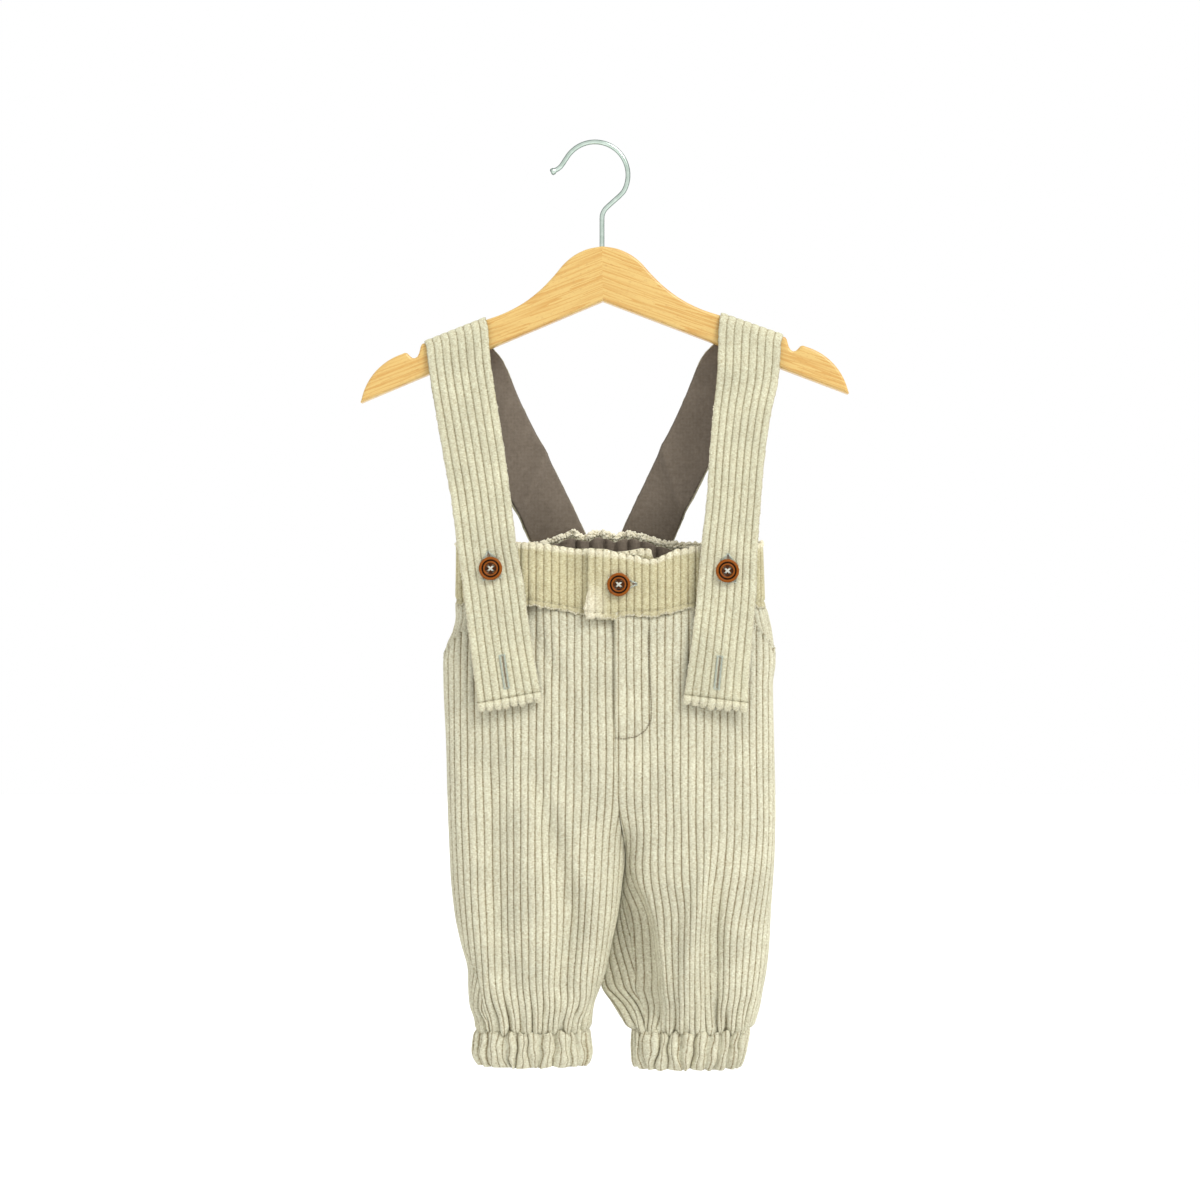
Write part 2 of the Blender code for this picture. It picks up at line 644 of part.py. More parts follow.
def panel(side, face):
    """A front or back panel, from the waist seam to the hem."""
    rows = new_rows()
    for z in PANEL_LEVELS:
        curve = panel_curve(side, face, z)
        pitch = look(PITCH[face], "wale", z)
        trim = pocket_trim(z) if face == "front" else 0.0
        cut = columns(curve, facing(side, face), GRAIN[side, face], pitch, OUTER_STEP, trim)
        height = wale_height(cut) + np.where(cut["edge"], 0, gather_height(cut["wales"], z, face))
        if face == "front":
            height = height + fly_height(cut["points"][:, 0], z, side)
        rows["outer"].append(raised(cut, height, row_level(cut["points"][:, 0], z, face)))
        rows["outer_at"].append(cut["wales"])
        plain = columns(curve, facing(side, face), GRAIN[side, face], pitch, INNER_STEP, trim)
        rows["inner"].append(raised(plain, -WALL, row_level(plain["points"][:, 0], z, face)))
        rows["inner_at"].append(plain["wales"])
    wall(f"{face}_{side}", rows, CORDUROY)


def pocket(side):
    """The hip piece that shows behind the slanted mouth, a little below the front panel's face."""
    rows = new_rows()
    for z in POCKET_LEVELS:
        curve = seat_curve(side, "front", z)
        end = distances(curve)[-1]
        start = end - pocket_trim(z) + 2 * GAP
        for key, steps in (("outer", POCKET_STEPS), ("inner", POCKET_STEPS // 2)):
            at = np.linspace(start, end, steps + 1)
            cut = spread(curve, facing(side, "front"), at)
            groove = WALE_DEPTH / 2 * (np.arange(steps + 1) % 2)
            height = -POCKET_DROP - (groove if key == "outer" else WALL)
            rows[key].append(raised(cut, height, row_level(cut["points"][:, 0], z, "front")))
            rows[key + "_at"].append(np.linspace(0, 1, steps + 1))
    wall(f"pocket_{side}", rows, CORDUROY)


# Waistband

def waistband_front(side):
    """Half the front waistband: the right-hand half ends in a flap that laps over the left-hand one."""
    end = LAP_END if side == "left" else FLAP_EDGE
    rows = new_rows()
    for share in BAND_SHARES:
        curve = seat_curve(side, "front", WAIST_SEAM + WAISTBAND_HEIGHT * share, end)
        for key, step in (("outer", OUTER_STEP), ("inner", INNER_STEP)):
            cut = columns(curve, facing(side, "front"), GRAIN[side, "front"], WALE, step)
            x = cut["points"][:, 0]
            bottom = look(FRONT_SEAM, "z", x, key="x")
            top = look(FRONT_TOP, "z", x, key="x")
            lift = 0 * x
            if side == "right":
                lift = FLAP_LIFT * (1 - ease((x - LAP_END - 2) / FLAP_RETURN))
                bottom = bottom - FLAP_DROP * (1 - ease((x - FLAP_DROP_AT) / FLAP_DROP_WIDTH))
            else:
                top = top - UNDERLAP_DROP * ease((x - FLAP_EDGE) / 4)
            if key == "outer":
                height = lift + wale_height(cut) - (BAND_ROUNDING if share in (0, 1) else 0)
            else:
                height = lift - WALL
            rows[key].append(raised(cut, height, bottom + (top - bottom) * share))
            rows[key + "_at"].append(cut["wales"])
    wall(f"waistband_{side}", rows, CORDUROY)


def back_band(name, thickness, below, shares, step, finish, top_gap):
    """A gathered band round the back, from side seam to side seam."""
    rows = new_rows()
    for share in shares:
        z = WAIST_SEAM + WAISTBAND_HEIGHT * share
        left = look(SEAT, "left", z)
        right = look(SEAT, "right", z)
        whole = oval(right, left, look(SEAT, "back", z), SEAT_SQUARENESS)
        curve = along(whole, np.linspace(SEAM, distances(whole)[-1] - SEAM, SAMPLES))
        deep = BACK_FLUTE_FALL * (1 + BACK_FLUTE_SPREAD * (share - 0.5))
        for key in ("outer", "inner"):
            pitch = look(PITCH["back"], "wale", z)
            cut = columns(curve, facing("left", "back"), BACK_BAND_GRAIN, pitch, step[key])
            x = cut["points"][:, 0]
            bottom = look(BACK_SEAM, "z", x, key="x")
            top = look(BACK_TOP, "z", x, key="x") - top_gap
            fade = ease((right - x - 2) / BACK_FLUTE_FADE) * ease((x - left - 2) / BACK_FLUTE_FADE)
            height = (BACK_FLUTE_RISE - deep * (1 - wave(cut["wales"] / BACK_FLUTE))) * fade - below
            if key == "inner":
                height = height - thickness
            elif finish is CORDUROY:
                height = height + wale_height(cut)
            rows[key].append(raised(cut, height, bottom + (top - bottom) * share))
            rows[key + "_at"].append(cut["wales"])
    wall(name, rows, finish)


# Cuffs

def cuff(side):
    """The gathered elastic casing at a leg's hem: a fluted tube."""
    rows = new_rows()
    count = CUFF_FLUTES * 2
    flute = HEM_FLUTE_RISE / 2 - CUFF_FLUTE_DEPTH * (np.arange(count) % 2)
    for z, inset in zip(CUFF["z"], CUFF["inset"]):
        front, back = leg_halves(side, z)
        ring = np.vstack((front, back[::-1][1:]))
        cut = spread(ring, -SIDES[side], np.arange(count) / count * distances(ring)[-1])
        level = z + HEM_RISE[side] * ease((HEM_SEAM - z) / HEM_RISE_FADE)
        rows["outer"].append(raised(cut, flute - inset, level))
        rows["inner"].append(raised(cut, flute - CUFF_WALL, level))
        for key in ("outer_at", "inner_at"):
            rows[key].append(np.arange(count))
    wall(f"cuff_{side}", rows, CORDUROY, closed=True)


# Straps

def arm_point(reach, height):
    """A point on the hanger, from its distance along the arm and its height above the top at the middle."""
    x = reach * math.cos(HANGER_TILT) - height * math.sin(HANGER_TILT)
    z = ARM_TOP + reach * math.sin(HANGER_TILT) + height * math.cos(HANGER_TILT)
    return x, z


def squared(value):
    """A sine or cosine, for a squarer bend than a circle's."""
    return math.copysign(abs(value) ** (2 / STRAP_BEND_SQUARENESS), value)


def strap_stations(side):
    """Rows of a strap's columns, from its front end up, over the hanger and down to its back end."""
    names = STRAP_COLUMNS.split()
    front = np.column_stack([STRAP_FRONT[side][name] for name in names])
    back = np.column_stack([STRAP_BACK[side][name] for name in names])
    reach = SIDES[side] * STRAP_SEAT
    top = look(ARM_UPPER, "height", STRAP_SEAT, key="reach")
    slope = SIDES[side] * -ARM_SLOPE + math.degrees(HANGER_TILT)
    half = ARM_THICKNESS / 2 + 3 * GAP
    over = []
    for turn in np.radians(STRAP_BEND):
        rise = half * squared(math.sin(turn)) - half + STRAP_SEAT_RISE
        x, z = arm_point(reach, top + rise)
        over.append((x, -half * squared(math.cos(turn)), z, slope, 0, STRAP_SEAT_WIDTH))
    return np.vstack((front, over, back))


def strap_rows(side, offset, across):
    """Points across the strap at each station, moved out from its lining face by offset."""
    stations = strap_stations(side)
    middle = stations[:, :3]
    slope = np.radians(stations[:, 3])
    turn = np.radians(stations[:, 4])
    width = np.column_stack((np.cos(turn) * np.cos(slope), np.sin(turn), np.cos(turn) * np.sin(slope)))
    normal = np.cross(width, np.gradient(middle, axis=0))
    normal /= np.linalg.norm(normal, axis=1)[:, None]
    offset = np.broadcast_to(offset, len(across))[:, None]
    rows = []
    for k, point in enumerate(middle):
        rows.append(point + across[:, None] * stations[k, 5] * width[k] + offset * normal[k])
    return rows


def strap_wall(name, side, outer, inner, finish):
    """One layer of a strap, from the height and the places across of its two faces."""
    rows = new_rows()
    for key, (height, across) in (("outer", outer), ("inner", inner)):
        rows[key] = strap_rows(side, height, across)
        rows[key + "_at"] = [across] * len(rows[key])
    wall(name, rows, finish)


def strap(side):
    """A corduroy strap, and the cotton lining sewn to its inner face."""
    wales = np.arange(-STRAP_WALES / 2, STRAP_WALES / 2 + OUTER_STEP / 2, OUTER_STEP)
    edge = np.abs(wales) == STRAP_WALES / 2
    under = LINING + GAP
    height = under + WALL + np.where(edge, -EDGE_DROP, -WALE_DEPTH * wave(wales))
    plain = np.array(STRAP_LINING_COLUMNS)
    narrow = plain * STRAP_LINING_SHARE
    strap_wall(f"strap_{side}", side, (height, wales / STRAP_WALES), (under, plain), CORDUROY)
    strap_wall(f"strap_lining_{side}", side, (LINING, narrow), (0, narrow), COTTON)


# Hanger

def arm_outline():
    """One arm's outline, from a little past the middle out to its tip and back along the lower edge."""
    reaches = np.linspace(0, ARM_CURVE_END, ARM_CURVE_STEPS + 1)
    upper = [(reach, look(ARM_UPPER, "height", reach, key="reach")) for reach in reaches]
    upper += list(zip(ARM_UPPER["reach"][-2:], ARM_UPPER["height"][-2:]))
    shoulder = []
    for angle in np.radians(ARM_SHOULDER["degrees"]):
        reach = ARM_SHOULDER["centre"][0] + ARM_SHOULDER["radius"] * math.cos(angle)
        shoulder.append((reach, ARM_SHOULDER["centre"][1] + ARM_SHOULDER["radius"] * math.sin(angle)))
    return [*ARM_OVERCUT, *upper, *STRAP_NOTCH, *shoulder, ARM_TIP, ARM_INNER_CORNER]


def rounded_arm():
    """Mesh of one arm with its edges rounded, before it is cut to the mitre."""
    mesh = bmesh.new()
    outline = [mesh.verts.new((x * MM, -ARM_THICKNESS / 2 * MM, z * MM)) for x, z in arm_outline()]
    face = mesh.faces.new(outline)
    pushed = bmesh.ops.extrude_face_region(mesh, geom=[face])["geom"]
    moved = [item for item in pushed if isinstance(item, bmesh.types.BMVert)]
    bmesh.ops.translate(mesh, verts=moved, vec=(0, ARM_THICKNESS * MM, 0))
    blank = finished("arm_blank", mesh, BEECH)
    rounding = blank.modifiers.new("rounded_edges", "BEVEL")
    rounding.width = ARM_EDGE * MM
    rounding.segments = 2
    rounding.limit_method = "ANGLE"
    rounding.angle_limit = math.radians(60)
    rounding.use_clamp_overlap = False
    rounded = bpy.data.meshes.new_from_object(blank.evaluated_get(bpy.context.evaluated_depsgraph_get()))
    bpy.data.objects.remove(blank, do_unlink=True)
    return rounded


def shank_bore():
    """The cutter for the hook's bore, down into the mitre."""
    mesh = bmesh.new()
    radius = (WIRE_RADIUS + GAP) * MM
    depth = 2 * BORE_DEPTH * MM
    bmesh.ops.create_cone(
        mesh, cap_ends=True, segments=BORE_SIDES, radius1=radius, radius2=radius, depth=depth
    )
    bore = cutter("shank_bore", mesh)
    bore.location = (0, 0, ARM_TOP * MM)
    return bore


def hanger_arms():
    """Two mirrored beech arms that meet in a mitre at the middle, with a bore for the hook's shank."""
    bore = shank_bore()
    rounded = rounded_arm()
    for side, sign in SIDES.items():
        arm = bmesh.new()
        arm.from_mesh(rounded)
        everything = arm.verts[:] + arm.edges[:] + arm.faces[:]
        cut = bmesh.ops.bisect_plane(
            arm, geom=everything, plane_co=(SEAM * MM, 0, 0), plane_no=(-1, 0, 0), clear_outer=True
        )
        rim = [item for item in cut["geom_cut"] if isinstance(item, bmesh.types.BMEdge)]
        bmesh.ops.holes_fill(arm, edges=rim, sides=0)
        bmesh.ops.scale(arm, vec=(sign, 1, 1), verts=arm.verts)
        bmesh.ops.rotate(arm, cent=(0, 0, 0), matrix=Matrix.Rotation(-HANGER_TILT, 3, "Y"), verts=arm.verts)
        bmesh.ops.translate(arm, vec=(0, 0, ARM_TOP * MM), verts=arm.verts)
        made = finished(f"hanger_{side}", arm, BEECH)
        take_away(made, bore, "shank_bore")
        made.data.shade_smooth()
        made.data.set_sharp_from_angle(angle=math.radians(35))
    bpy.data.meshes.remove(rounded)


# Hook

def hook():
    """The bent wire: up from the mitre, round the hook, to its capped tip."""
    bend = []
    for angle in np.radians(HOOK_DEGREES):
        x = HOOK_CENTRE[0] + HOOK_RADIUS * math.cos(angle)
        bend.append((x, HOOK_CENTRE[1] + HOOK_RADIUS * math.sin(angle)))
    route = [*HOOK_SHANK, *bend, *HOOK_END]
    data = bpy.data.curves.new("hanger_hook", "CURVE")
    data.dimensions = "3D"
    data.bevel_depth = WIRE_RADIUS * MM
    data.bevel_resolution = 2
    data.use_fill_caps = True
    line = data.splines.new("POLY")
    line.points.add(len(route) - 1)
    for point, (x, z) in zip(line.points, route):
        point.co = (x * MM, 0, z * MM, 1)
    for point in line.points[-2:]:
        point.radius = HOOK_CAP_SCALE
    data.materials.append(ZINC)
    PARTS.objects.link(bpy.data.objects.new("hanger_hook", data))


# Buttons

def button_drill(name):
    """Four round cutters for a button's holes."""
    mesh = bmesh.new()
    radius = BUTTON_HOLE_RADIUS * MM
    for x in (-1, 1):
        for y in (-1, 1):
            shift = Matrix.Translation((x * BUTTON_HOLE_OFFSET * MM, y * BUTTON_HOLE_OFFSET * MM, 0))
            bmesh.ops.create_cone(
                mesh, cap_ends=True, segments=BUTTON_HOLE_SIDES, radius1=radius, radius2=radius,
                depth=BUTTON_DRILL * MM, matrix=shift,
            )
    return cutter(name, mesh)


def button(name, place):
    """A turned four-hole wooden button that faces the front."""
    data = bpy.data.meshes.new(name)
    profile = [(radius * MM, 0, height * MM) for radius, height in BUTTON_PROFILE]
    data.from_pydata(profile, [(k, k + 1) for k in range(len(profile) - 1)], [])
    data.materials.append(WOOD)
    made = bpy.data.objects.new(name, data)
    PARTS.objects.link(made)
    turned = made.modifiers.new("turned", "SCREW")
    turned.steps = BUTTON_SIDES
    turned.render_steps = BUTTON_SIDES
    turned.use_merge_vertices = True
    turned.merge_threshold = MERGE * MM
    drill = button_drill(f"{name}_holes")
    take_away(made, drill, "four_holes")
    for item in (made, drill):
        item.location = Vector(place) * MM
        item.rotation_euler = (math.radians(90), 0, 0)


for each_side in SIDES:
    for each_face in ("front", "back"):
        panel(each_side, each_face)
    pocket(each_side)
    waistband_front(each_side)
    cuff(each_side)
    strap(each_side)
back_band("waistband_back", WALL, 0.0, BACK_BAND_SHARES, BAND_STEPS, CORDUROY, 0.0)
back_band("waistband_lining", LINING, WALL + GAP, LINING_SHARES, LINING_STEPS, COTTON, LINING_DROP)
hanger_arms()
hook()
for button_name, button_place in BUTTONS.items():
    button(f"button_{button_name}", button_place)
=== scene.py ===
"""Corduroy trousers with two button-on shoulder straps, hanging on a child's wooden hanger.

Sizes are in millimetres and become metres where a mesh is made. +Z is up, -Y is the front, and left and right
are as seen from the front. The origin is on the inside of the hook, straight above the middle of the hanger.
"""

import math

import bmesh
import bpy
import numpy as np
from mathutils import Matrix, Vector


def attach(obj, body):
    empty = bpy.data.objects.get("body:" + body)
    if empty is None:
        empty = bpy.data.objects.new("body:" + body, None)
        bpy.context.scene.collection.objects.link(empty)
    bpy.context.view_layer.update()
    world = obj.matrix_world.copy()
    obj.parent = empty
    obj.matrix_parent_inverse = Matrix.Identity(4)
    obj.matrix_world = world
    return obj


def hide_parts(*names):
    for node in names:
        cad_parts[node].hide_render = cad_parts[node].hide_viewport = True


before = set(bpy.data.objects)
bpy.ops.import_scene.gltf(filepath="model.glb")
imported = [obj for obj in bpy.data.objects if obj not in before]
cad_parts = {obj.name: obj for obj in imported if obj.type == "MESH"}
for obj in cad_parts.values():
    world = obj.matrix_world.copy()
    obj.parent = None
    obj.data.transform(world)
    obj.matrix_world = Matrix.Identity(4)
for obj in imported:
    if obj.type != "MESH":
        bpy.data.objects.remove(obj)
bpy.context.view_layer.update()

# Trouser panels
#
# Two fronts and two backs cut from cotton jumbo corduroy with the wales running down. They are sewn to each
# other down the centre, the outseams and the inseams, and soft folds run down to the gathered hems.

MM = 0.001
SIDES = {"left": -1, "right": 1}
WALL = 2.4                # from the plain inside to the top of a wale
WALE = 5.0                # from wale to wale
WALE_DEPTH = 1.15         # from the top of a wale down into the groove
WALE_FLATNESS = 3.2       # the wales are broad and the grooves narrow
WALE_PLACES = (-0.5, -0.45, -0.38, -0.25, 0, 0.25, 0.38, 0.45)   # columns of points across one wale
MOST_WALES = 22           # no panel has more on either side of its grain line
EDGE_REACH = 1.3          # an edge is rounded over this distance
EDGE_PLACES = (0, 0.03, 0.08, 0.15, 0.26)   # columns of points in from an edge, in wales


def table(names, *rows):
    """Columns by name, from rows of numbers."""
    return dict(zip(names.split(), np.array(rows, float).T))


WAIST_SEAM = -300.0
SEAM_LEVELS_OUT = -345.0  # the rows of points follow the waist seam's dip down to here
FORK_TOP = -418.0         # the seat's one tube turns into the legs' two from here
FORK_END = -474.0         # to here
HEM_SEAM = -573.6
HEM_GATHER_TOP = -536.0   # the hems' gathers reach up to here
CREASE_TOP = HEM_GATHER_TOP - 4
CREASE_RUN = 30.0         # and their creases deepen over this length
LAP = 0.14                # two panels meet at a seam and each runs this far past it
SEAT_SQUARENESS = 3.2     # 2 is an ellipse, and more is squarer
LEG_SQUARENESS = 2.5
BACK_SEAM_SHIFT = -3.0    # the centre-back seam lies this far across from the centre-front one
STEP_WIDTH = 7.0          # the width of the step where a leg's cloth folds over itself
# Sections of the seat: where its sides and its centre-front seam are, and how far its front and back bulge.
SEAT = table(
    "z left right middle front back",
    (-250, -94.9, 104.4, 8.0, 20.5, 22.5),
    (-270, -95.0, 105.0, 8.0, 20.8, 22.6),
    (-300, -95.4, 106.2, 8.0, 22.0, 23.5),
    (-309, -95.2, 107.6, 8.0, 22.6, 24.2),
    (-317, -97.0, 109.6, 8.0, 23.3, 25.0),
    (-326, -100.4, 111.6, 8.1, 24.0, 25.8),
    (-336, -103.2, 112.8, 8.2, 24.7, 26.5),
    (-350, -103.0, 111.1, 8.3, 25.4, 27.0),
    (-390, -101.2, 111.9, 8.6, 26.8, 28.0),
    (-434, -100.1, 112.7, 11.1, 27.4, 28.0),
    (-458, -99.0, 112.3, 15.2, 27.0, 27.0),
    (-480, -98.0, 111.0, 15.2, 27.0, 27.0),
)
# Sections of the legs: their sides and bulges, how far the two seams are turned round from the sides, how far
# the inner half leans back, and where a step lies and how deep it is.
LEG_COLUMNS = "z inner outer front back inseam outseam lean step_at step_depth"
LEGS = {
    "left": table(
        LEG_COLUMNS,
        (-418, 10.0, -100.6, 27.2, 28.0, 0, 0, 0, 0, 0),
        (-438, 12.5, -100.0, 27.2, 27.6, 0, 0, 0, 0, 0),
        (-461, 15.4, -99.0, 27.0, 27.0, 0, 0, -2, 0, 0),
        (-474, 13.9, -98.4, 27.0, 27.0, 0, 0, -4, 0, 0),
        (-499, 10.4, -95.8, 26.5, 26.5, -3, 4, -6, 0, 0),
        (-517, 6.6, -92.1, 26.0, 26.0, -6, 9, -6, 0, 0),
        (-537, 2.2, -87.2, 25.0, 25.0, -8, 17, -6, 0, 0),
        (-547, -1.3, -87.0, 24.2, 24.2, -8, 20, -5, 0, 0),
        (-558, -5.4, -85.8, 23.2, 23.2, -8, 21, -3, 0, 0),
        (-570, -7.6, -82.1, 21.8, 21.8, -8, 20, -1, 0, 0),
        (-577, -7.8, -82.5, 21.2, 21.2, -8, 20, 0, 0, 0),
        (-590, -6.6, -83.6, 21.6, 21.6, -8, 20, 0, 0, 0),
        (-598, -8.0, -81.6, 20.0, 20.0, -8, 20, 0, 0, 0),
    ),
    "right": table(
        LEG_COLUMNS,
        (-418, 10.3, 112.5, 27.2, 28.0, 0, 0, 0, 16.0, 0.0),
        (-438, 11.6, 112.7, 27.2, 27.6, 0, 0, 0, 16.0, 0.0),
        (-461, 13.7, 112.2, 27.0, 27.0, 0, 0, 2, 18.0, 2.4),
        (-474, 12.9, 111.5, 27.0, 27.0, 3, 0, 5, 20.0, 5.4),
        (-499, 10.1, 109.7, 26.5, 26.5, 12, -4, 11, 31.0, 11.0),
        (-517, 6.2, 108.9, 26.0, 26.0, 18, -8, 14, 34.5, 13.0),
        (-537, 1.8, 106.8, 25.0, 25.0, 25, -12, 15, 37.0, 13.0),
        (-547, -0.6, 104.8, 24.2, 24.2, 28, -12, 15, 37.5, 12.0),
        (-558, 6.2, 102.5, 23.2, 23.2, 27, -12, 12, 38.5, 8.5),
        (-570, 14.6, 98.4, 21.8, 21.8, 22, -12, 3, 38.5, 3.0),
        (-577, 19.4, 95.4, 21.2, 21.2, 18, -12, 0, 38.5, 0.0),
        (-590, 19.4, 92.4, 21.6, 21.6, 18, -12, 0, 38.5, 0.0),
        (-598, 20.0, 90.4, 20.0, 20.0, 18, -12, 0, 38.5, 0.0),
    ),
}
# Creases of the hems' gathers: where each starts across the panel and where it ends at the stitches, its
# depth and its width.
CREASES = {
    ("left", "front"): (
        (-64, -58.3, 1.2, 2.2), (-50, -51.2, 1.6, 2.0), (-38, -35.2, 1.8, 2.2), (-24, -26.9, 3.0, 2.4),
        (-17, -16.0, 2.0, 2.2), (-76, -69, 1.4, 2.0),
    ),
    ("right", "front"): (
        (38, 38.0, 2.2, 2.0), (49, 47.0, 1.4, 2.2), (58, 56.0, 2.2, 2.0), (74, 72.0, 1.8, 2.2),
        (84, 79.5, 2.4, 2.2), (66, 64, 1.2, 1.8),
    ),
    ("left", "back"): (
        (-66, -60, 2.2, 2.4), (-55, -50, 1.4, 2.0), (-40, -38, 2.4, 2.2), (-26, -27, 1.6, 2.4),
        (-12, -15, 2.2, 2.0),
    ),
    ("right", "back"): (
        (30, 32, 1.8, 2.2), (44, 43, 2.4, 2.2), (56, 55, 1.4, 2.0), (68, 66, 2.2, 2.4), (84, 79, 1.8, 2.2),
    ),
}


def fold(*rows):
    """A soft fold down a panel: its place across, its depth (a ridge's is below zero) and its width."""
    return table("z x depth width", *rows)


FOLDS = {
    ("left", "front"): (
        fold((-300, -47, 3.0, 6), (-320, -43, 2.4, 7), (-345, -30, 1.8, 7), (-388, -10, 0, 6)),
        fold((-346, -71, 1.5, 9), (-430, -70, 5.0, 11), (-509, -67, 6.5, 10), (-574, -52, 0, 8)),
        fold(
            (-390, -50, 0, 6), (-430, -37, 3.4, 7), (-462, -28, 5.2, 8), (-509, -20, 6.6, 8),
            (-574, -33, 0, 6),
        ),
        fold((-420, -48, 0, 9), (-488, -42, -2.0, 8), (-541, -36, -2.4, 7), (-574, -33, 0, 6)),
    ),
    ("right", "front"): (
        fold(
            (-438, 74, 0, 6), (-470, 66, -4.0, 6), (-505, 58, -7.0, 7), (-552, 52, -6.0, 6),
            (-574, 50, 0, 6),
        ),
        fold((-465, 74, 0, 6), (-515, 72, 6.0, 6), (-555, 71, 6.4, 6), (-574, 71, 0, 6)),
        fold((-304, 16, 0, 10), (-366, 18, -1.0, 10), (-392, 18, 0, 10)),
    ),
    ("left", "back"): (
        fold((-390, -66, 0, 9), (-470, -62, 2.2, 10), (-530, -52, 2.8, 9), (-574, -44, 0, 8)),
        fold((-352, -10, 0, 10), (-430, -24, 1.6, 11), (-520, -26, 2.4, 9), (-574, -30, 0, 7)),
    ),
    ("right", "back"): (
        fold((-380, 76, 0, 9), (-455, 70, 2.0, 10), (-525, 66, 2.8, 9), (-574, 60, 0, 8)),
        fold((-360, 22, 0, 10), (-450, 34, 1.8, 10), (-520, 38, 2.2, 9), (-574, 42, 0, 7)),
    ),
}
# From wale to wale down each panel. The gathers draw the wales together at the hems.
PITCH = {
    "front": table("z wale", (-250, 5.0), (-470, 5.0), (-510, 4.8), (-548, 4.3), (-573, 3.7), (-600, 3.7)),
    "back": table("z wale", (-300, 4.0), (-350, 4.5), (-440, 4.9), (-510, 4.8), (-573, 3.7), (-600, 3.7)),
}
# Where across each panel the wale runs straight down from which the others are counted.
GRAIN = {("left", "front"): -45.0, ("right", "front"): 58.0, ("left", "back"): -43.0, ("right", "back"): 53.0}
FRONT_SEAM = table(
    "x z",
    (-110, -297.5), (-49, -297.5), (-35, -299.4), (-11, -303.6), (8, -304.6), (33, -304.4), (43, -302.7),
    (60, -299.5), (120, -298.5),
)
BACK_SEAM = table("x z", (-110, -298), (120, -298))
# The elastic draws the back waist into puckers between these places across it.
PUCKERS = (
    -106, -95, -84, -73, -62, -50.5, -39.5, -28.5, -17, -8.2, 1.3, 8.3, 17.1, 25.2, 36, 47.5, 58, 69.5, 80,
    92, 103, 114,
)
PUCKERS_END = -352.0      # the puckers fade out down the back by here
PUCKER_HEIGHT = 2.6       # from a pucker to the ridge beside it
WAIST_TUCK = 1.3          # a panel is drawn in by this under the waistband,
HEM_TUCK = 1.1            # by this at the hem's stitches
CUFF_TUCK = 1.0           # and by this more inside the cuff
FLAP_PULL = 2.2           # the flap lifts the right-hand front's top edge, which is sewn to it
POCKET_MOUTH = 30.0       # from the side seam to the slanted mouth, at the waist seam
POCKET_END = -334.0       # the mouth's lower end, in the side seam
POCKET_HEM = 3.0          # the mouth's turned edge is topstitched this far in
FLY_LIFT = 1.3            # the doubled cloth of the mock fly stands out by this,
FLY_WIDTH = 24.0          # fades over this width
FLY_END = -384.0          # and ends here
FLY_ROLL = 1.1            # its folded edge is rolled out further
SAMPLES = 481             # points along a section, before the columns are placed on it
MERGE = 0.01              # points closer than this are one


def look(columns, name, at, key="z"):
    """Value of a column at a height, on a smooth curve through the rows that never overshoots them."""
    order = np.argsort(columns[key])
    xs = columns[key][order]
    ys = columns[name][order]
    step = np.diff(xs)
    rise = np.diff(ys) / step
    tangent = np.zeros_like(ys)
    tangent[0] = rise[0]
    tangent[-1] = rise[-1]
    same_way = rise[:-1] * rise[1:] > 0
    safe = np.where(same_way, rise[:-1] * rise[1:], 1)
    tangent[1:-1] = np.where(same_way, 2 * safe / np.where(same_way, rise[:-1] + rise[1:], 1), 0)
    at = np.clip(at, xs[0], xs[-1])
    k = np.clip(np.searchsorted(xs, at) - 1, 0, len(step) - 1)
    t = (at - xs[k]) / step[k]
    start = ys[k] * (1 + 2 * t) * (1 - t) ** 2 + ys[k + 1] * t * t * (3 - 2 * t)
    return start + step[k] * (tangent[k] * t * (1 - t) ** 2 - tangent[k + 1] * t * t * (1 - t))


def ease(share):
    """0 below 0, 1 above 1, and a smooth rise between them."""
    share = np.clip(share, 0, 1)
    return share * share * (3 - 2 * share)


def bump(distance, width):
    """1 at no distance, fading to 0 either side of it."""
    return np.exp(-(distance / width) ** 2)


def oval(start, end, depth, squareness):
    """Half an oval from one side to the other, bulging by depth along Y."""
    turn = np.linspace(0, math.pi, SAMPLES)
    reach = np.sign(np.cos(turn)) * np.abs(np.cos(turn)) ** (2 / squareness)
    x = (start + end) / 2 + (start - end) / 2 * reach
    y = depth * np.sin(turn) ** (2 / squareness)
    return np.column_stack((x, y))


def distances(points):
    """How far along a line each of its points is."""
    return np.concatenate(([0], np.cumsum(np.linalg.norm(np.diff(points, axis=0), axis=1))))


def read_along(run, values, at):
    """Rows of values that are known at the distances run, read at other distances."""
    return np.column_stack([np.interp(at, run, values[:, axis]) for axis in range(values.shape[1])])


def along(points, at):
    """Points at given distances along a line."""
    return read_along(distances(points), points, at)


def seat_curve(side, face, z, middle=None):
    """Section of half the seat, from its centre seam, or from another point across it, to its side seam."""
    start = look(SEAT, "right" if side == "left" else "left", z)
    end = look(SEAT, side, z)
    depth = -look(SEAT, "front", z) if face == "front" else look(SEAT, "back", z)
    whole = oval(start, end, depth, SEAT_SQUARENESS)
    run = distances(whole)
    if middle is None:
        shift = BACK_SEAM_SHIFT if face == "back" else 0
        middle = look(SEAT, "middle", z) + shift - SIDES[side] * LAP
    first = np.interp(abs(middle - start), np.abs(whole[:, 0] - start), run)
    curve = along(whole, np.linspace(first, run[-1], SAMPLES))
    curve[-1, 1] = -math.copysign(LAP, depth)
    return curve


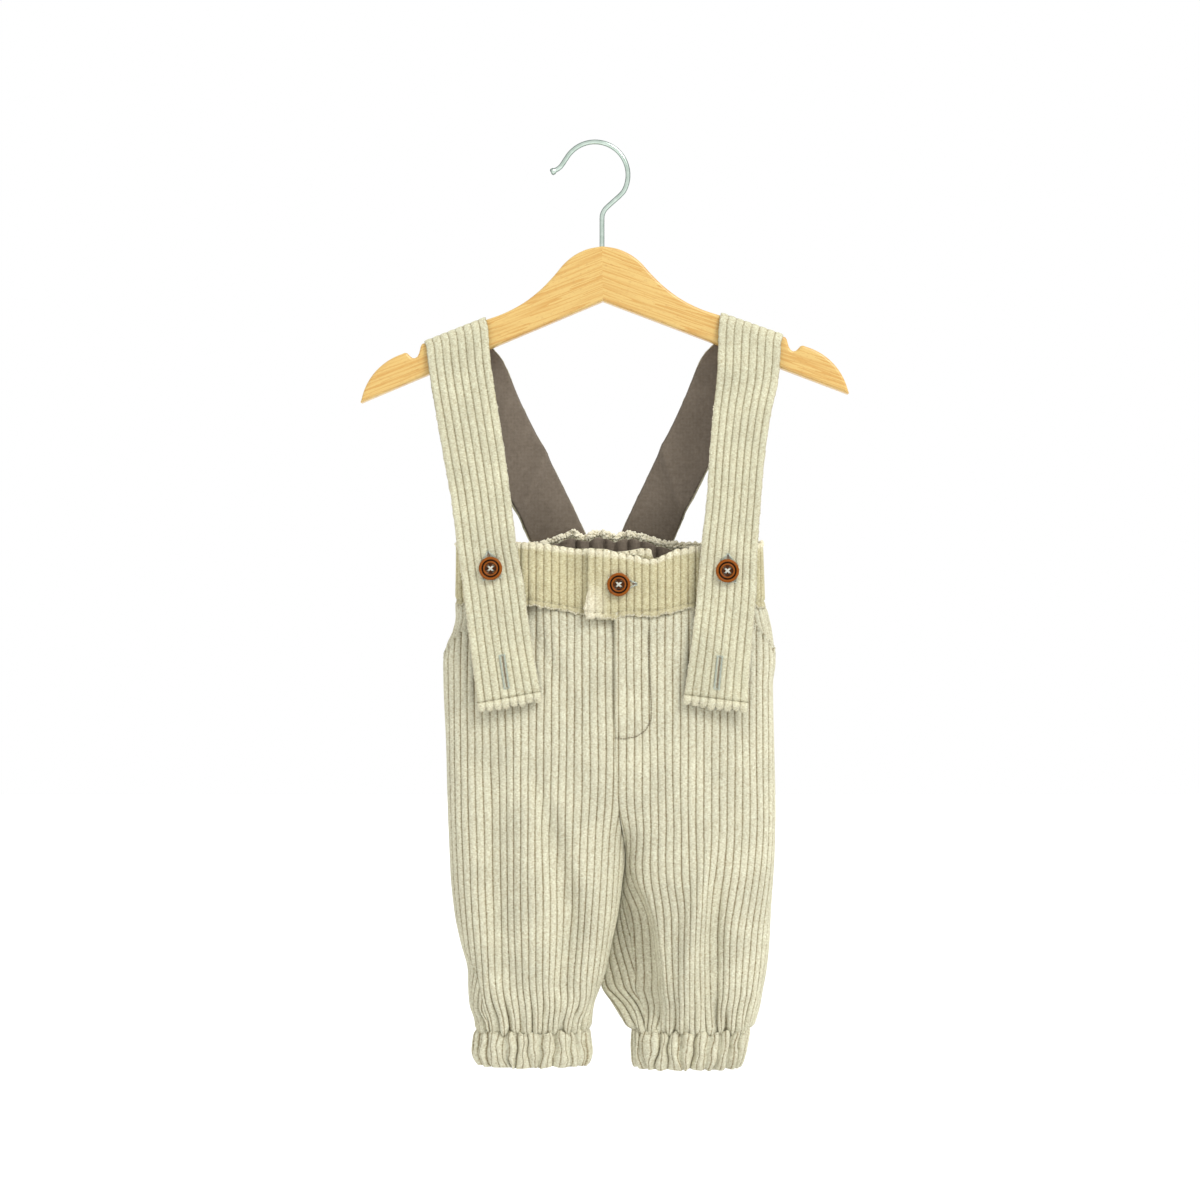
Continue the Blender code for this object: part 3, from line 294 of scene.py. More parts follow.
def leg_halves(side, z):
    """Front and back half of a leg's section, each from its inner to its outer side."""
    leg = LEGS[side]
    inner = look(leg, "inner", z)
    outer = look(leg, "outer", z)
    front = oval(inner, outer, -look(leg, "front", z), LEG_SQUARENESS)
    beside = (look(leg, "step_at", z) - front[:, 0]) * SIDES[side] / STEP_WIDTH + 0.5
    front[:, 1] += look(leg, "step_depth", z) * ease(beside) * ease(-front[:, 1] / look(leg, "front", z))
    back = oval(inner, outer, look(leg, "back", z), LEG_SQUARENESS)
    for half in (front, back):
        inwards = ((inner + outer) / 2 - half[:, 0]) / ((outer - inner) / 2)
        half[:, 1] += look(leg, "lean", z) * ease(inwards)
    return front, back


def leg_curve(side, face, z):
    """Section of a leg's front or back panel, from its inseam to its outseam."""
    front, back = leg_halves(side, z)
    ring = np.vstack((front, back[::-1][1:], front[1:], back[::-1][1:]))
    front_length = distances(front)[-1]
    back_length = distances(back)[-1]
    inseam = front_length + back_length + look(LEGS[side], "inseam", z)
    outseam = front_length - look(LEGS[side], "outseam", z)
    if face == "front":
        outseam += front_length + back_length
        return along(ring, np.linspace(inseam - LAP, outseam + LAP, SAMPLES))
    return along(ring, np.linspace(inseam + LAP, outseam - LAP, SAMPLES))


def panel_curve(side, face, z):
    """Section of a panel with its folds: the seat's above the fork, the leg's below it, a blend between."""
    share = ease((FORK_TOP - z) / (FORK_TOP - FORK_END))
    curve = 0
    if share < 1:
        curve = (1 - share) * seat_curve(side, face, z)
    if share > 0:
        curve = curve + share * leg_curve(side, face, z)
    depth = 0
    for soft_fold in FOLDS[side, face]:
        beside = curve[:, 0] - look(soft_fold, "x", z)
        depth = depth + look(soft_fold, "depth", z) * bump(beside, look(soft_fold, "width", z))
    pull = ease((CREASE_TOP - z) / CREASE_RUN) ** 1.5
    for start, end, deep, width in CREASES[side, face]:
        depth = depth + deep * pull * bump(curve[:, 0] - start - (end - start) * pull, width)
    inwards = 1 if face == "front" else -1
    curve[:, 1] += inwards * depth * ease(np.abs(curve[:, 1]) / np.abs(curve[:, 1]).max())
    return curve


def outward(points, turn):
    """Unit vectors square to a section. The turn is 1 or -1, after which side of it is outside."""
    tangent = np.gradient(points, axis=0)
    tangent /= np.linalg.norm(tangent, axis=1)[:, None]
    return np.column_stack((-tangent[:, 1], tangent[:, 0])) * turn


def facing(side, face):
    """Which way a panel's section turns, for outward."""
    return 1 if (side, face) in (("left", "front"), ("right", "back")) else -1


def columns_at(curve, at, turn, wales):
    """Columns of points at given distances along a section, with the way out of the cloth at each."""
    return {
        "points": along(curve, at),
        "out": read_along(distances(curve), outward(curve, turn), at),
        "wales": wales,
    }


def wale_columns(curve, turn, grain, pitch, places, trim=0.0, fan=None, drift=None):
    """Columns on a section at given places in wales from the grain line, closer together at its two ends.

    A fan says how many wales the inner side comes to hold, the share of the way there, and how they crowd.
    """
    run = distances(curve)
    beyond = np.sign(curve[:, 0] - grain)
    crossings = np.nonzero(beyond[:-1] * beyond[1:] <= 0)[0]
    k = crossings[np.argmin(np.abs(crossings - SAMPLES / 2))]
    part = (grain - curve[k, 0]) / (curve[k + 1, 0] - curve[k, 0])
    origin = run[k] + part * (run[k + 1] - run[k])
    low = -origin / pitch
    crowd = 0.0
    if fan:
        held, way_there, crowding = fan
        low += (low + held) * -way_there
        crowd = crowding * way_there
    high = (run[-1] - trim - origin) / pitch
    edge = np.array(EDGE_PLACES)
    wales = np.clip(places, low + edge[-1], high - edge[-1])
    wales = np.concatenate((low + edge, wales, (high - edge)[::-1]))
    part = np.clip(wales / low, 0, 1)
    first = 1 + (-low * pitch / origin - 1) * crowd
    inwards = origin * (first * part - (first - 1) * part ** 3)
    at = origin + np.where(wales < 0, -inwards, wales * pitch)
    if drift is not None:
        room = np.minimum(at, run[-1] - trim - at)
        at = at + drift(wales) * ease((room - 1.5) / 8)
    cut = columns_at(curve, at, turn, wales)
    cut["edge"] = np.minimum((wales - low) * origin / -low, (high - wales) * pitch)
    return cut


def places_of(most, places):
    """All the places of columns across that many wales each way."""
    return np.sort((np.arange(-most, most + 1)[:, None] + np.array(places)).ravel())


def wale_height(wales):
    """Height of the pile: 0 on top of a wale, and down in the narrow groove between two."""
    return -WALE_DEPTH * (2 * np.abs(wales - np.round(wales))) ** WALE_FLATNESS


def edge_fall(distance):
    """1 at an edge and 0 away from it, on a quarter circle."""
    away = np.clip(distance / EDGE_REACH, 0, 1)
    return 1 - np.sqrt(1 - (1 - away) ** 2)


def new_layer():
    """Empty rows of points for one face of a wall, with their places in the cloth."""
    return {"points": [], "places": []}


def add_row(layer, cut, height, level, run=None):
    """Add a row of columns, moved out by height, at one level or at each column's own.

    Its place down the cloth comes from the level, unless its distance from an edge is given.
    """
    points = cut["points"] + cut["out"] * np.broadcast_to(height, len(cut["wales"]))[:, None]
    level = np.broadcast_to(level, len(points))
    layer["points"].append(np.column_stack((points, level)))
    down = level / WALE if run is None else np.full(len(points), run / WALE)
    layer["places"].append(np.column_stack((cut["wales"], down, 0 * level)))


def grid_faces(first, rows, columns, closed):
    """Faces between each row of points and the next."""
    index = first + np.arange(rows * columns).reshape(rows, columns)
    after = np.roll(index, -1, axis=1) if closed else index[:, 1:]
    here = index if closed else index[:, :-1]
    return np.stack((here[:-1], after[:-1], after[1:], here[1:]), axis=-1).reshape(-1, 4).tolist()


def rim_faces(upper, lower):
    """Faces between two lines of points that may differ in number, matched by their share along the line."""
    faces = []
    i = 0
    j = 0
    while i < len(upper) - 1 or j < len(lower) - 1:
        next_upper = (i + 1) / (len(upper) - 1) if i < len(upper) - 1 else 2
        next_lower = (j + 1) / (len(lower) - 1) if j < len(lower) - 1 else 2
        if next_upper <= next_lower:
            faces.append((upper[i], upper[i + 1], lower[j]))
            i += 1
        else:
            faces.append((upper[i], lower[j + 1], lower[j]))
            j += 1
    return faces


def in_scene(name, data):
    """A new object in the scene, with its data."""
    made = bpy.data.objects.new(name, data)
    bpy.context.scene.collection.objects.link(made)
    return made


def plain_mesh(piece):
    """A piece with its modifiers or its curve's thickness applied, as a mesh of its own."""
    return bpy.data.meshes.new_from_object(piece.evaluated_get(bpy.context.evaluated_depsgraph_get()))


def cloth(name, outer, inner, finish, closed=False):
    """A thin closed shell of cloth from the rows of its two faces, with a map of wales and length."""
    points = []
    places = []
    faces = []
    edges = []
    for layer in (outer, inner):
        rows = np.array(layer["points"])
        first = sum(len(part) for part in points)
        count = rows.shape[:2]
        index = first + np.arange(count[0] * count[1]).reshape(count)
        points.append(rows.reshape(-1, 3))
        places.append(np.array(layer["places"]).reshape(-1, 3))
        faces += grid_faces(first, count[0], count[1], closed)
        if closed:
            edges.append([[*index[0], index[0, 0]], [*index[-1], index[-1, 0]]])
        else:
            edges.append([index[0], index[-1], index[:, 0], index[:, -1]])
    for upper, lower in zip(*edges):
        faces += rim_faces([int(k) for k in upper], [int(k) for k in lower])
    mesh = bpy.data.meshes.new(name)
    mesh.from_pydata((np.vstack(points) * MM).tolist(), [], faces)
    place = mesh.attributes.new("place", "FLOAT_VECTOR", "POINT")
    place.data.foreach_set("vector", np.vstack(places).astype(np.float32).ravel())
    joined = bmesh.new()
    joined.from_mesh(mesh)
    bmesh.ops.remove_doubles(joined, verts=joined.verts, dist=MERGE * MM)
    bmesh.ops.dissolve_degenerate(joined, edges=joined.edges, dist=MERGE * MM / 10)
    bmesh.ops.recalc_face_normals(joined, faces=joined.faces)
    if joined.calc_volume(signed=True) < 0:
        bmesh.ops.reverse_faces(joined, faces=joined.faces)
    joined.to_mesh(mesh)
    joined.free()
    where = np.zeros(len(mesh.vertices) * 3, np.float32)
    mesh.attributes["place"].data.foreach_get("vector", where)
    corner = np.zeros(len(mesh.loops), np.int32)
    mesh.loops.foreach_get("vertex_index", corner)
    chart = mesh.uv_layers.new(name="cloth")
    chart.data.foreach_set("uv", where.reshape(-1, 3)[corner, :2].ravel())
    mesh.attributes.remove(mesh.attributes["place"])
    mesh.materials.append(finish)
    mesh.shade_smooth()
    return in_scene(name, mesh)


def linear(colour):
    """Linear light of an sRGB hex colour, with alpha 1."""
    parts = [int(colour[k:k + 2], 16) / 255 for k in (1, 3, 5)]
    return (*[c / 12.92 if c <= 0.04045 else ((c + 0.055) / 1.055) ** 2.4 for c in parts], 1)


def add_node(tree, kind, settings=None, **links):
    """Add a node, with settings for its properties and links for its inputs, by name or by number after a _.

    A link is a plain value, one output of another node, or another node, which stands for its first output.
    """
    node = tree.nodes.new(kind)
    for key, value in (settings or {}).items():
        setattr(node, key, value)
    for key, value in links.items():
        socket = node.inputs[int(key[1:])] if key[0] == "_" else node.inputs[key.replace("_", " ")]
        if isinstance(value, bpy.types.Node):
            value = value.outputs[0]
        if isinstance(value, bpy.types.NodeSocket):
            tree.links.new(value, socket)
        else:
            socket.default_value = value
    return node


def new_material(name, **constants):
    """A material and its node tree. Its shader's own sockets hold the constants."""
    material = bpy.data.materials.new(name)
    material.use_nodes = True
    shader = material.node_tree.nodes["Principled BSDF"]
    for key, value in constants.items():
        shader.inputs[key.replace("_", " ")].default_value = value
    return material, material.node_tree


def end_material(material, colour, height=None, strength=0.0, depth=0.0):
    """The end of each material: its colour and, where a height is given, its relief go to the shader."""
    tree = material.node_tree
    shader = tree.nodes["Principled BSDF"]
    tree.links.new(colour, shader.inputs["Base Color"])
    if height:
        relief = add_node(tree, "ShaderNodeBump", Strength=strength, Distance=depth, Height=height)
        tree.links.new(relief.outputs[0], shader.inputs["Normal"])
    return material


# Settings that many nodes share.
RGBA = {"data_type": "RGBA"}
SMOOTH = {"interpolation_type": "SMOOTHSTEP"}


def corduroy(name, top, groove, deep, groove_shade_strength=1.0, edge=None, reach=0.6, tip=None, corner=None):
    """Woven cotton with a cut, brushed pile: soft and matt, mottled on the wales, with warm painted shade in
    the grooves.

    The pile may be paler within reach of an edge, at a folded top's tips and at a free corner.
    """
    material, tree = new_material(
        name, Roughness=0.92, IOR=1.45, Specular_IOR_Level=0.15, Sheen_Weight=0.12, Sheen_Roughness=0.5,
        Sheen_Tint=linear("#F4F0DC"),
    )
    chart = add_node(tree, "ShaderNodeUVMap", {"uv_map": "cloth"})
    place = add_node(tree, "ShaderNodeTexCoord").outputs["Object"]
    # Tufts of pile are 0.6 mm across, and are drawn about 1.2 mm across so that they show. The wales' edges
    # waver with them.
    wander = add_node(tree, "ShaderNodeTexNoise", Vector=chart, Scale=4.6, Detail=3.0, Roughness=0.75)
    split = add_node(tree, "ShaderNodeSeparateXYZ", Vector=chart)
    wobble = add_node(
        tree, "ShaderNodeMath", {"operation": "MULTIPLY_ADD"}, _0=wander, _1=0.42,
        _2=split,
    )
    share = add_node(tree, "ShaderNodeMath", {"operation": "FRACT"}, _0=wobble)
    beside = add_node(tree, "ShaderNodeMath", {"operation": "SUBTRACT"}, _0=share, _1=0.71)
    away = add_node(tree, "ShaderNodeMath", {"operation": "ABSOLUTE"}, _0=beside)
    # Painted shade: the colour darkens towards the middle of each groove.
    shade = add_node(
        tree, "ShaderNodeMapRange", SMOOTH, Value=away,
        From_Min=0.0, From_Max=0.19, To_Min=1.0, To_Max=0.0,
    )
    # The painted shade is stronger in some grooves than in others, over about 5 cm.
    long_way = add_node(tree, "ShaderNodeMapping", Vector=chart, Scale=(0.9, 0.09, 1.0))
    open_way = add_node(tree, "ShaderNodeTexNoise", Vector=long_way, Scale=1.0, Detail=2.0)
    opened = add_node(
        tree, "ShaderNodeMapRange", Value=open_way, From_Min=0.35, From_Max=0.65,
        To_Min=0.5 * groove_shade_strength, To_Max=1.0 * groove_shade_strength,
    )
    shade = add_node(tree, "ShaderNodeMath", {"operation": "MULTIPLY"}, _0=shade, _1=opened)
    tufts = add_node(tree, "ShaderNodeTexNoise", Vector=place, Scale=640.0, Detail=2.0, Roughness=0.7)
    # The pile leans, and lies in slanting streaks 0.5 mm wide and 1.5 mm long.
    slanted = add_node(
        tree, "ShaderNodeMapping", Vector=chart, Rotation=(0, 0, math.radians(38)), Scale=(3.0, 9.0, 1.0)
    )
    streaks = add_node(tree, "ShaderNodeTexNoise", Vector=slanted, Scale=1.0, Detail=3.0, Roughness=0.65)
    # Hands have turned the nap in patches about 2 cm across.
    brushed = add_node(tree, "ShaderNodeTexNoise", Vector=place, Scale=44.0, Detail=3.0, Roughness=0.55)
    nap = add_node(tree, "ShaderNodeMath", {"operation": "ADD"}, _0=tufts, _1=streaks)
    mottle = add_node(tree, "ShaderNodeMapRange", Value=nap, From_Min=0.72, From_Max=1.28)
    # Between the tufts the pile is a warmer, darker cream.
    tuft_tint = add_node(
        tree, "ShaderNodeMix", RGBA, _0=mottle, _6=(0.76, 0.69, 0.60, 1),
        _7=(1.22, 1.25, 1.26, 1),
    )
    patch = add_node(
        tree, "ShaderNodeMapRange", Value=brushed, From_Min=0.3, From_Max=0.7, To_Min=0.92, To_Max=1.09,
    )
    both = add_node(
        tree, "ShaderNodeVectorMath", {"operation": "SCALE"}, Vector=tuft_tint.outputs[2], Scale=patch
    )
    pile = add_node(tree, "ShaderNodeMix", RGBA, _0=shade, _6=linear(top), _7=linear(groove))
    # At the foot of a groove the painted shade lies as a row of dark dots, 0.8 mm apart, between the tufts.
    dots = add_node(tree, "ShaderNodeMapping", Vector=chart, Scale=(2.0, 6.0, 1.0))
    dotted = add_node(tree, "ShaderNodeTexNoise", Vector=dots, Scale=1.0, Detail=1.0)
    depth = add_node(
        tree, "ShaderNodeMapRange", Value=dotted, From_Min=0.35, From_Max=0.6,
        To_Min=0.25 * groove_shade_strength, To_Max=1.0 * groove_shade_strength,
    )
    pit_shade = add_node(
        tree, "ShaderNodeMapRange", SMOOTH, Value=away,
        From_Min=0.0, From_Max=0.1, To_Min=1.0, To_Max=0.0,
    )
    pit_shade = add_node(tree, "ShaderNodeMath", {"operation": "MULTIPLY"}, _0=pit_shade, _1=depth)
    line = add_node(tree, "ShaderNodeMix", RGBA, _0=pit_shade, _6=pile.outputs[2], _7=linear(deep))
    paler = []
    if edge:
        # Below the stitches along a band's edge the pile stands up and is paler.
        paler.append((edge, reach - 0.12, reach + 0.08, 0.5, 0.0))
    if tip:
        # So does the folded top, where each wale ends in a pale tip.
        paler.append((tip, 7.0, 7.4, 0.0, 0.75))
    for colour, start, end, before, after in paler:
        near = add_node(
            tree, "ShaderNodeMapRange", SMOOTH, Value=split.outputs[1], From_Min=start, From_Max=end,
            To_Min=before, To_Max=after,
        )
        line = add_node(tree, "ShaderNodeMix", RGBA, _0=near, _6=line.outputs[2], _7=linear(colour))
    if corner:
        # The free corner's pile is paler.
        across = add_node(
            tree, "ShaderNodeMapRange", SMOOTH, Value=split,
            From_Min=corner, From_Max=corner + 3.0, To_Min=0.75, To_Max=0.0,
        )
        down = add_node(
            tree, "ShaderNodeMapRange", SMOOTH, Value=split.outputs[1],
            From_Min=1.5, From_Max=5.0, To_Min=1.0, To_Max=0.0,
        )
        paler_corner = add_node(tree, "ShaderNodeMath", {"operation": "MULTIPLY"}, _0=across, _1=down)
        line = add_node(
            tree, "ShaderNodeMix", RGBA, _0=paler_corner, _6=line.outputs[2],
            _7=linear("#DEDAC6"),
        )
    final = add_node(
        tree, "ShaderNodeVectorMath", {"operation": "MULTIPLY"}, _0=line.outputs[2], _1=both
    )
    return end_material(material, final.outputs[0], nap, 0.9, 0.0008)


# Its second and third colours hold the painted shade of the grooves and their feet.
CORDUROY = corduroy("brushed_cotton_corduroy", "#CAC8B2", "#ABA186", "#7C7056", 0.95)


def cotton_fibres(name, light, dark, per_metre, detail=2.0, **constants):
    """Cotton fibres in two shades, with so many tufts or twists to the metre."""
    material, tree = new_material(name, **constants)
    place = add_node(tree, "ShaderNodeTexCoord").outputs["Object"]
    fibres = add_node(tree, "ShaderNodeTexNoise", Vector=place, Scale=per_metre, Detail=detail)
    tint = add_node(tree, "ShaderNodeMix", RGBA, _0=fibres, _6=linear(dark), _7=linear(light))
    return end_material(material, tint.outputs[2])


def thread_finish(name, light, dark):
    """Spun thread: pale, with a soft gloss and a fine twist that repeats every 0.4 mm."""
    return cotton_fibres(name, light, dark, 2600.0, Roughness=0.6, Sheen_Weight=0.2)


def new_tree(name, inputs, result):
    """A node tree with its named inputs, of one kind of socket each, and the node that gives them."""
    tree = bpy.data.node_groups.new(name, "GeometryNodeTree")
    for key, kind in inputs.items():
        tree.interface.new_socket(key, in_out="INPUT", socket_type=f"NodeSocket{kind}")
    tree.interface.new_socket(result, in_out="OUTPUT", socket_type="NodeSocketGeometry")
    return tree, add_node(tree, "NodeGroupInput")


def end_tree(tree, given, shape):
    """The end of each tree: its instances made real, shaded smooth and given their finish."""
    real = add_node(tree, "GeometryNodeRealizeInstances", Geometry=shape)
    smooth = add_node(tree, "GeometryNodeSetShadeSmooth", Geometry=real)
    finish = add_node(tree, "GeometryNodeSetMaterial", Geometry=smooth, Material=given.outputs["Finish"])
    add_node(tree, "NodeGroupOutput", _0=finish)
    return tree


def stitch_tree():
    """Geometry nodes: a row of sewn stitches along a path, each a short length of thread sunk at its ends."""
    inputs = {"Path": "Geometry", "Pitch": "Float", "Size": "Vector", "Finish": "Material"}
    tree, given = new_tree("stitches_along_path", inputs, "Stitches")
    line = add_node(tree, "GeometryNodeMeshToCurve", Mesh=given.outputs["Path"])
    marks = add_node(
        tree, "GeometryNodeResampleCurve", {"mode": "LENGTH"}, Curve=line, Length=given.outputs["Pitch"]
    )
    tangent = add_node(tree, "GeometryNodeInputTangent")
    turn = add_node(tree, "FunctionNodeAlignRotationToVector", {"axis": "X"}, Vector=tangent)
    ball = add_node(tree, "GeometryNodeMeshUVSphere", Segments=8, Rings=6, Radius=1.0)
    stitch = add_node(tree, "GeometryNodeTransform", Geometry=ball, Scale=given.outputs["Size"])
    rows = add_node(tree, "GeometryNodeInstanceOnPoints", Points=marks, Instance=stitch, Rotation=turn)
    return end_tree(tree, given, rows)


def grown(name, routes, tree, inputs):
    """Sewing or loose pile that a node tree makes from routes of points, as a plain mesh on the cloth.

    Each input is set by its socket's identifier.
    """
    path = bpy.data.meshes.new(f"{name}_path")
    points = [Vector(point) * MM for route in routes for point in route]
    edges = []
    first = 0
    for route in routes:
        edges += [(first + k, first + k + 1) for k in range(len(route) - 1)]
        first += len(route)
    path.from_pydata(points, edges, [])
    made = in_scene(name, path)
    growth = made.modifiers.new("growth", "NODES")
    growth.node_group = tree
    sockets = {item.name: item.identifier for item in tree.interface.items_tree if item.in_out == "INPUT"}
    for key, value in inputs.items():
        growth[sockets[key]] = value
    result = plain_mesh(made)
    made.modifiers.clear()
    made.data = result
    result.name = name
    bpy.data.meshes.remove(path)
    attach(made, "root")


def tuft_tree():
    """Geometry nodes: loose tufts of cut pile along a raw or folded edge, each turned and sized by chance."""
    inputs = {
        "Path": "Geometry", "Pitch": "Float", "Scatter": "Float", "Least": "Vector", "Most": "Vector",
        "Finish": "Material",
    }
    tree, given = new_tree("tufts_along_edge", inputs, "Tufts")
    line = add_node(tree, "GeometryNodeMeshToCurve", Mesh=given.outputs["Path"])
    marks = add_node(
        tree, "GeometryNodeResampleCurve", {"mode": "LENGTH"}, Curve=line, Length=given.outputs["Pitch"]
    )
    points = add_node(tree, "GeometryNodeCurveToPoints", {"mode": "EVALUATED"}, Curve=marks)
    by_chance = {"data_type": "FLOAT_VECTOR"}
    shift = add_node(tree, "FunctionNodeRandomValue", by_chance, _0=(-1, -1, -1), _1=(1, 1, 1), Seed=3)
    spread = add_node(
        tree, "ShaderNodeVectorMath", {"operation": "SCALE"}, Vector=shift, Scale=given.outputs["Scatter"]
    )
    loose = add_node(tree, "GeometryNodeSetPosition", Geometry=points, Offset=spread)
    turn = add_node(tree, "FunctionNodeRandomValue", by_chance, _1=(6.28, 6.28, 6.28), Seed=7)
    size = add_node(
        tree, "FunctionNodeRandomValue", by_chance, _0=given.outputs["Least"], _1=given.outputs["Most"],
        Seed=11,
    )
    ball = add_node(tree, "GeometryNodeMeshIcoSphere", Radius=1.0, Subdivisions=2)
    tufts = add_node(
        tree, "GeometryNodeInstanceOnPoints", Points=loose, Instance=ball, Rotation=turn, Scale=size
    )
    return end_tree(tree, given, tufts)


def loose_pile(name, light, dark):
    """Ends of cut pile: fluffy, matt and a little paler than the face of the cloth, in clumps 1 mm across."""
    return cotton_fibres(name, light, dark, 900.0, Roughness=1.0, Sheen_Weight=0.2)


SEWING = thread_finish("cream_polyester_thread", "#B9B196", "#7C7359")
# Where the cloth is thick, the pile closes over the stitches; these are drawn dark, as painted shade in the
# pits between them.
PIT_SHADE_THREAD = thread_finish("thread_painted_as_pit_shade", "#8F8468", "#5F563F")
STITCH_TREE = stitch_tree()
TUFT_TREE = tuft_tree()
PILE = loose_pile("loose_cotton_pile", "#DAD6C0", "#ADA58A")
STITCH = {"Pitch": 2.5 * MM, "Size": (1.05 * MM, 0.24 * MM, 0.24 * MM), "Finish": SEWING}
SHADED_PITS = {"Pitch": 1.7 * MM, "Size": (0.75 * MM, 0.34 * MM, 0.4 * MM), "Finish": PIT_SHADE_THREAD}
TUFTS = {
    "Pitch": 0.42 * MM, "Scatter": 0.42 * MM, "Least": (0.25 * MM, 0.25 * MM, 0.25 * MM),
    "Most": (0.75 * MM, 0.5 * MM, 0.5 * MM), "Finish": PILE,
}

# The hems' elastic draws up each flute by its own amount and pushes each wale sideways by its own.
random = np.random.default_rng(5)
FLUTES = {key: random.uniform(0.1, 2.3, 2 * MOST_WALES) for key in GRAIN}
DRIFTS = {key: random.uniform(-1.0, 1.0, 2 * MOST_WALES) for key in GRAIN}
# Wales between the inseam and the grain line of the right-hand panels, where they run down beside the inseam.
INNER_WALES = {
    "front": table(
        "z count", (-418, 10.0), (-474, 10.4), (-500, 11.0), (-528, 10.8), (-563, 10.3), (-574, 9.8),
    ),
    "back": table(
        "z count",
        (-418, 10.0), (-445, 13.0), (-474, 16.6), (-495, 17.2), (-520, 16.4), (-547, 15.0), (-574, 13.4),
    ),
}


def pucker(x):
    """1 half way between two of the back waist's puckers and 0 in each of them."""
    k = np.clip(np.searchsorted(PUCKERS, x) - 1, 0, len(PUCKERS) - 2)
    low = np.array(PUCKERS)[k]
    high = np.array(PUCKERS)[k + 1]
    return np.abs(np.sin(math.pi * (x - low) / (high - low))) ** 0.8


def flute_height(side, face, wales, z):
    """Uneven flutes of two wales each, where a hem's elastic gathers the cloth."""
    depth = np.interp(wales / 2 + MOST_WALES, np.arange(2 * MOST_WALES), FLUTES[side, face])
    wave = np.abs(np.cos(math.pi * (wales + 0.5) / 2)) ** 0.8
    return 2.0 * depth * (wave - 0.55) * ease((HEM_GATHER_TOP - z) / (HEM_GATHER_TOP - HEM_SEAM)) ** 1.3


def hem_waver(x):
    """The stitches above the cuff wander up and down over the gathers."""
    return 0.7 * np.sin(x * 0.41) + 0.6 * np.sin(x * 0.93 + 1.3)


def hem_drift(side, face, z):
    """How far each wale is pushed sideways: a little all the way down, and much more in the gathers."""
    share = ease((HEM_GATHER_TOP - 2 - z) / 26)
    marks = DRIFTS[side, face]

    def drift(wales):
        sway = np.interp(wales * 0.8 + MOST_WALES + 0.11 * z, np.arange(2 * MOST_WALES), marks)
        gentle = 0.3 * np.sin(z / 29 + wales * 0.5 + marks[0] * 3) + 0.12 * np.sin(z / 11 + wales * 1.1)
        return 3.9 * sway * share + gentle

    return drift


def fly_height(side, x, z):
    """The doubled cloth of the mock fly lifts the right-hand front along its edge."""
    if side == "left":
        return 0 * x
    away = x - look(SEAT, "middle", z)
    roll = FLY_ROLL * bump(away - 1.7, 1.3)
    return (FLY_LIFT * (1 - ease(away / FLY_WIDTH)) + roll) * ease((z - FLY_END) / 20)


# The line of stitches runs down beside the mock fly and curves in to its foot.
FLY_STITCHES = np.array((
    (30.4, -303.0), (29.8, -321.2), (30.4, -342.7), (31.6, -361.6), (31.6, -372.0), (28.2, -378.9),
    (22.2, -383.1), (13.4, -384.7), (8.9, -384.0),
))


def fly_stitch_fall(side, x, z):
    """The line of stitches that holds the mock fly pulls the cloth in."""
    if side == "left" or z < FLY_END - 3:
        return 0 * x
    route = along(FLY_STITCHES, np.linspace(0, 120, 90))
    nearest = np.sqrt(((x[:, None] - route[:, 0]) ** 2 + (z - route[:, 1]) ** 2).min(axis=1))
    return 0.8 * bump(nearest, 0.9)


def pocket_trim(z):
    """How far the slanted pocket mouth has cut the front panel back from the side seam."""
    return POCKET_MOUTH * np.clip((z - POCKET_END) / (WAIST_SEAM - POCKET_END), 0, 1)


def row_level(x, z, face):
    """Height of a row's points: the top row follows the waist seam, and the rows below level out."""
    seam = look(FRONT_SEAM if face == "front" else BACK_SEAM, "z", x, key="x")
    return z + (seam - WAIST_SEAM) * ease((z - SEAM_LEVELS_OUT) / (WAIST_SEAM - SEAM_LEVELS_OUT))


# Rows of points from the waist down, closer together round the foot of the fly and at both seams.
PANEL_LEVELS = np.concatenate((
    (-299.0, -300.2, -301.5, -303.0, -305.0),
    np.arange(-307.5, -371, -2.9),
    np.arange(-372, -389, -0.9),
    np.arange(-390.5, -540, -2.9),
    np.arange(-541, -570.5, -1.7),
    (-571.0, -572.3, -573.5, -575.2),
))
OUTER_PLACES = places_of(MOST_WALES, WALE_PLACES)
INNER_PLACES = places_of(MOST_WALES, (-0.5, 0))


def panel_tuck(z):
    """How far a panel is drawn in under the waistband, at the hem's stitches and inside the cuff."""
    waist = WAIST_TUCK * ease((z - WAIST_SEAM + 5.5) / 5)
    return waist + HEM_TUCK * ease((HEM_SEAM + 2.6 - z) / 2.6) + CUFF_TUCK * ease((HEM_SEAM - z) / 1.5)


def panel_swell(side, face, z, cut, trim):
    """How far the plain cloth of a panel stands out from its section at each column."""
    x = cut["points"][:, 0]
    swell = flute_height(side, face, cut["wales"], z) - panel_tuck(z)
    if face == "back":
        return swell + PUCKER_HEIGHT * (pucker(x) - 0.5) * ease((z - PUCKERS_END) / 46)
    swell = swell + fly_height(side, x, z)
    if side == "right":
        swell = swell + FLAP_PULL * (1 - ease((x - 34) / 20)) * ease((z - WAIST_SEAM + 16) / 14)
    if trim > 0:
        # The edge of the pocket's mouth is turned in, and its stitches press it flat.
        turned = 1.0 * bump(cut["edge"] - 1.2, 1.3) - 0.8 * bump(cut["edge"] - POCKET_HEM, 0.8)
        swell = swell + turned * ((cut["wales"] > 3) * ease(trim / 4))
    return swell


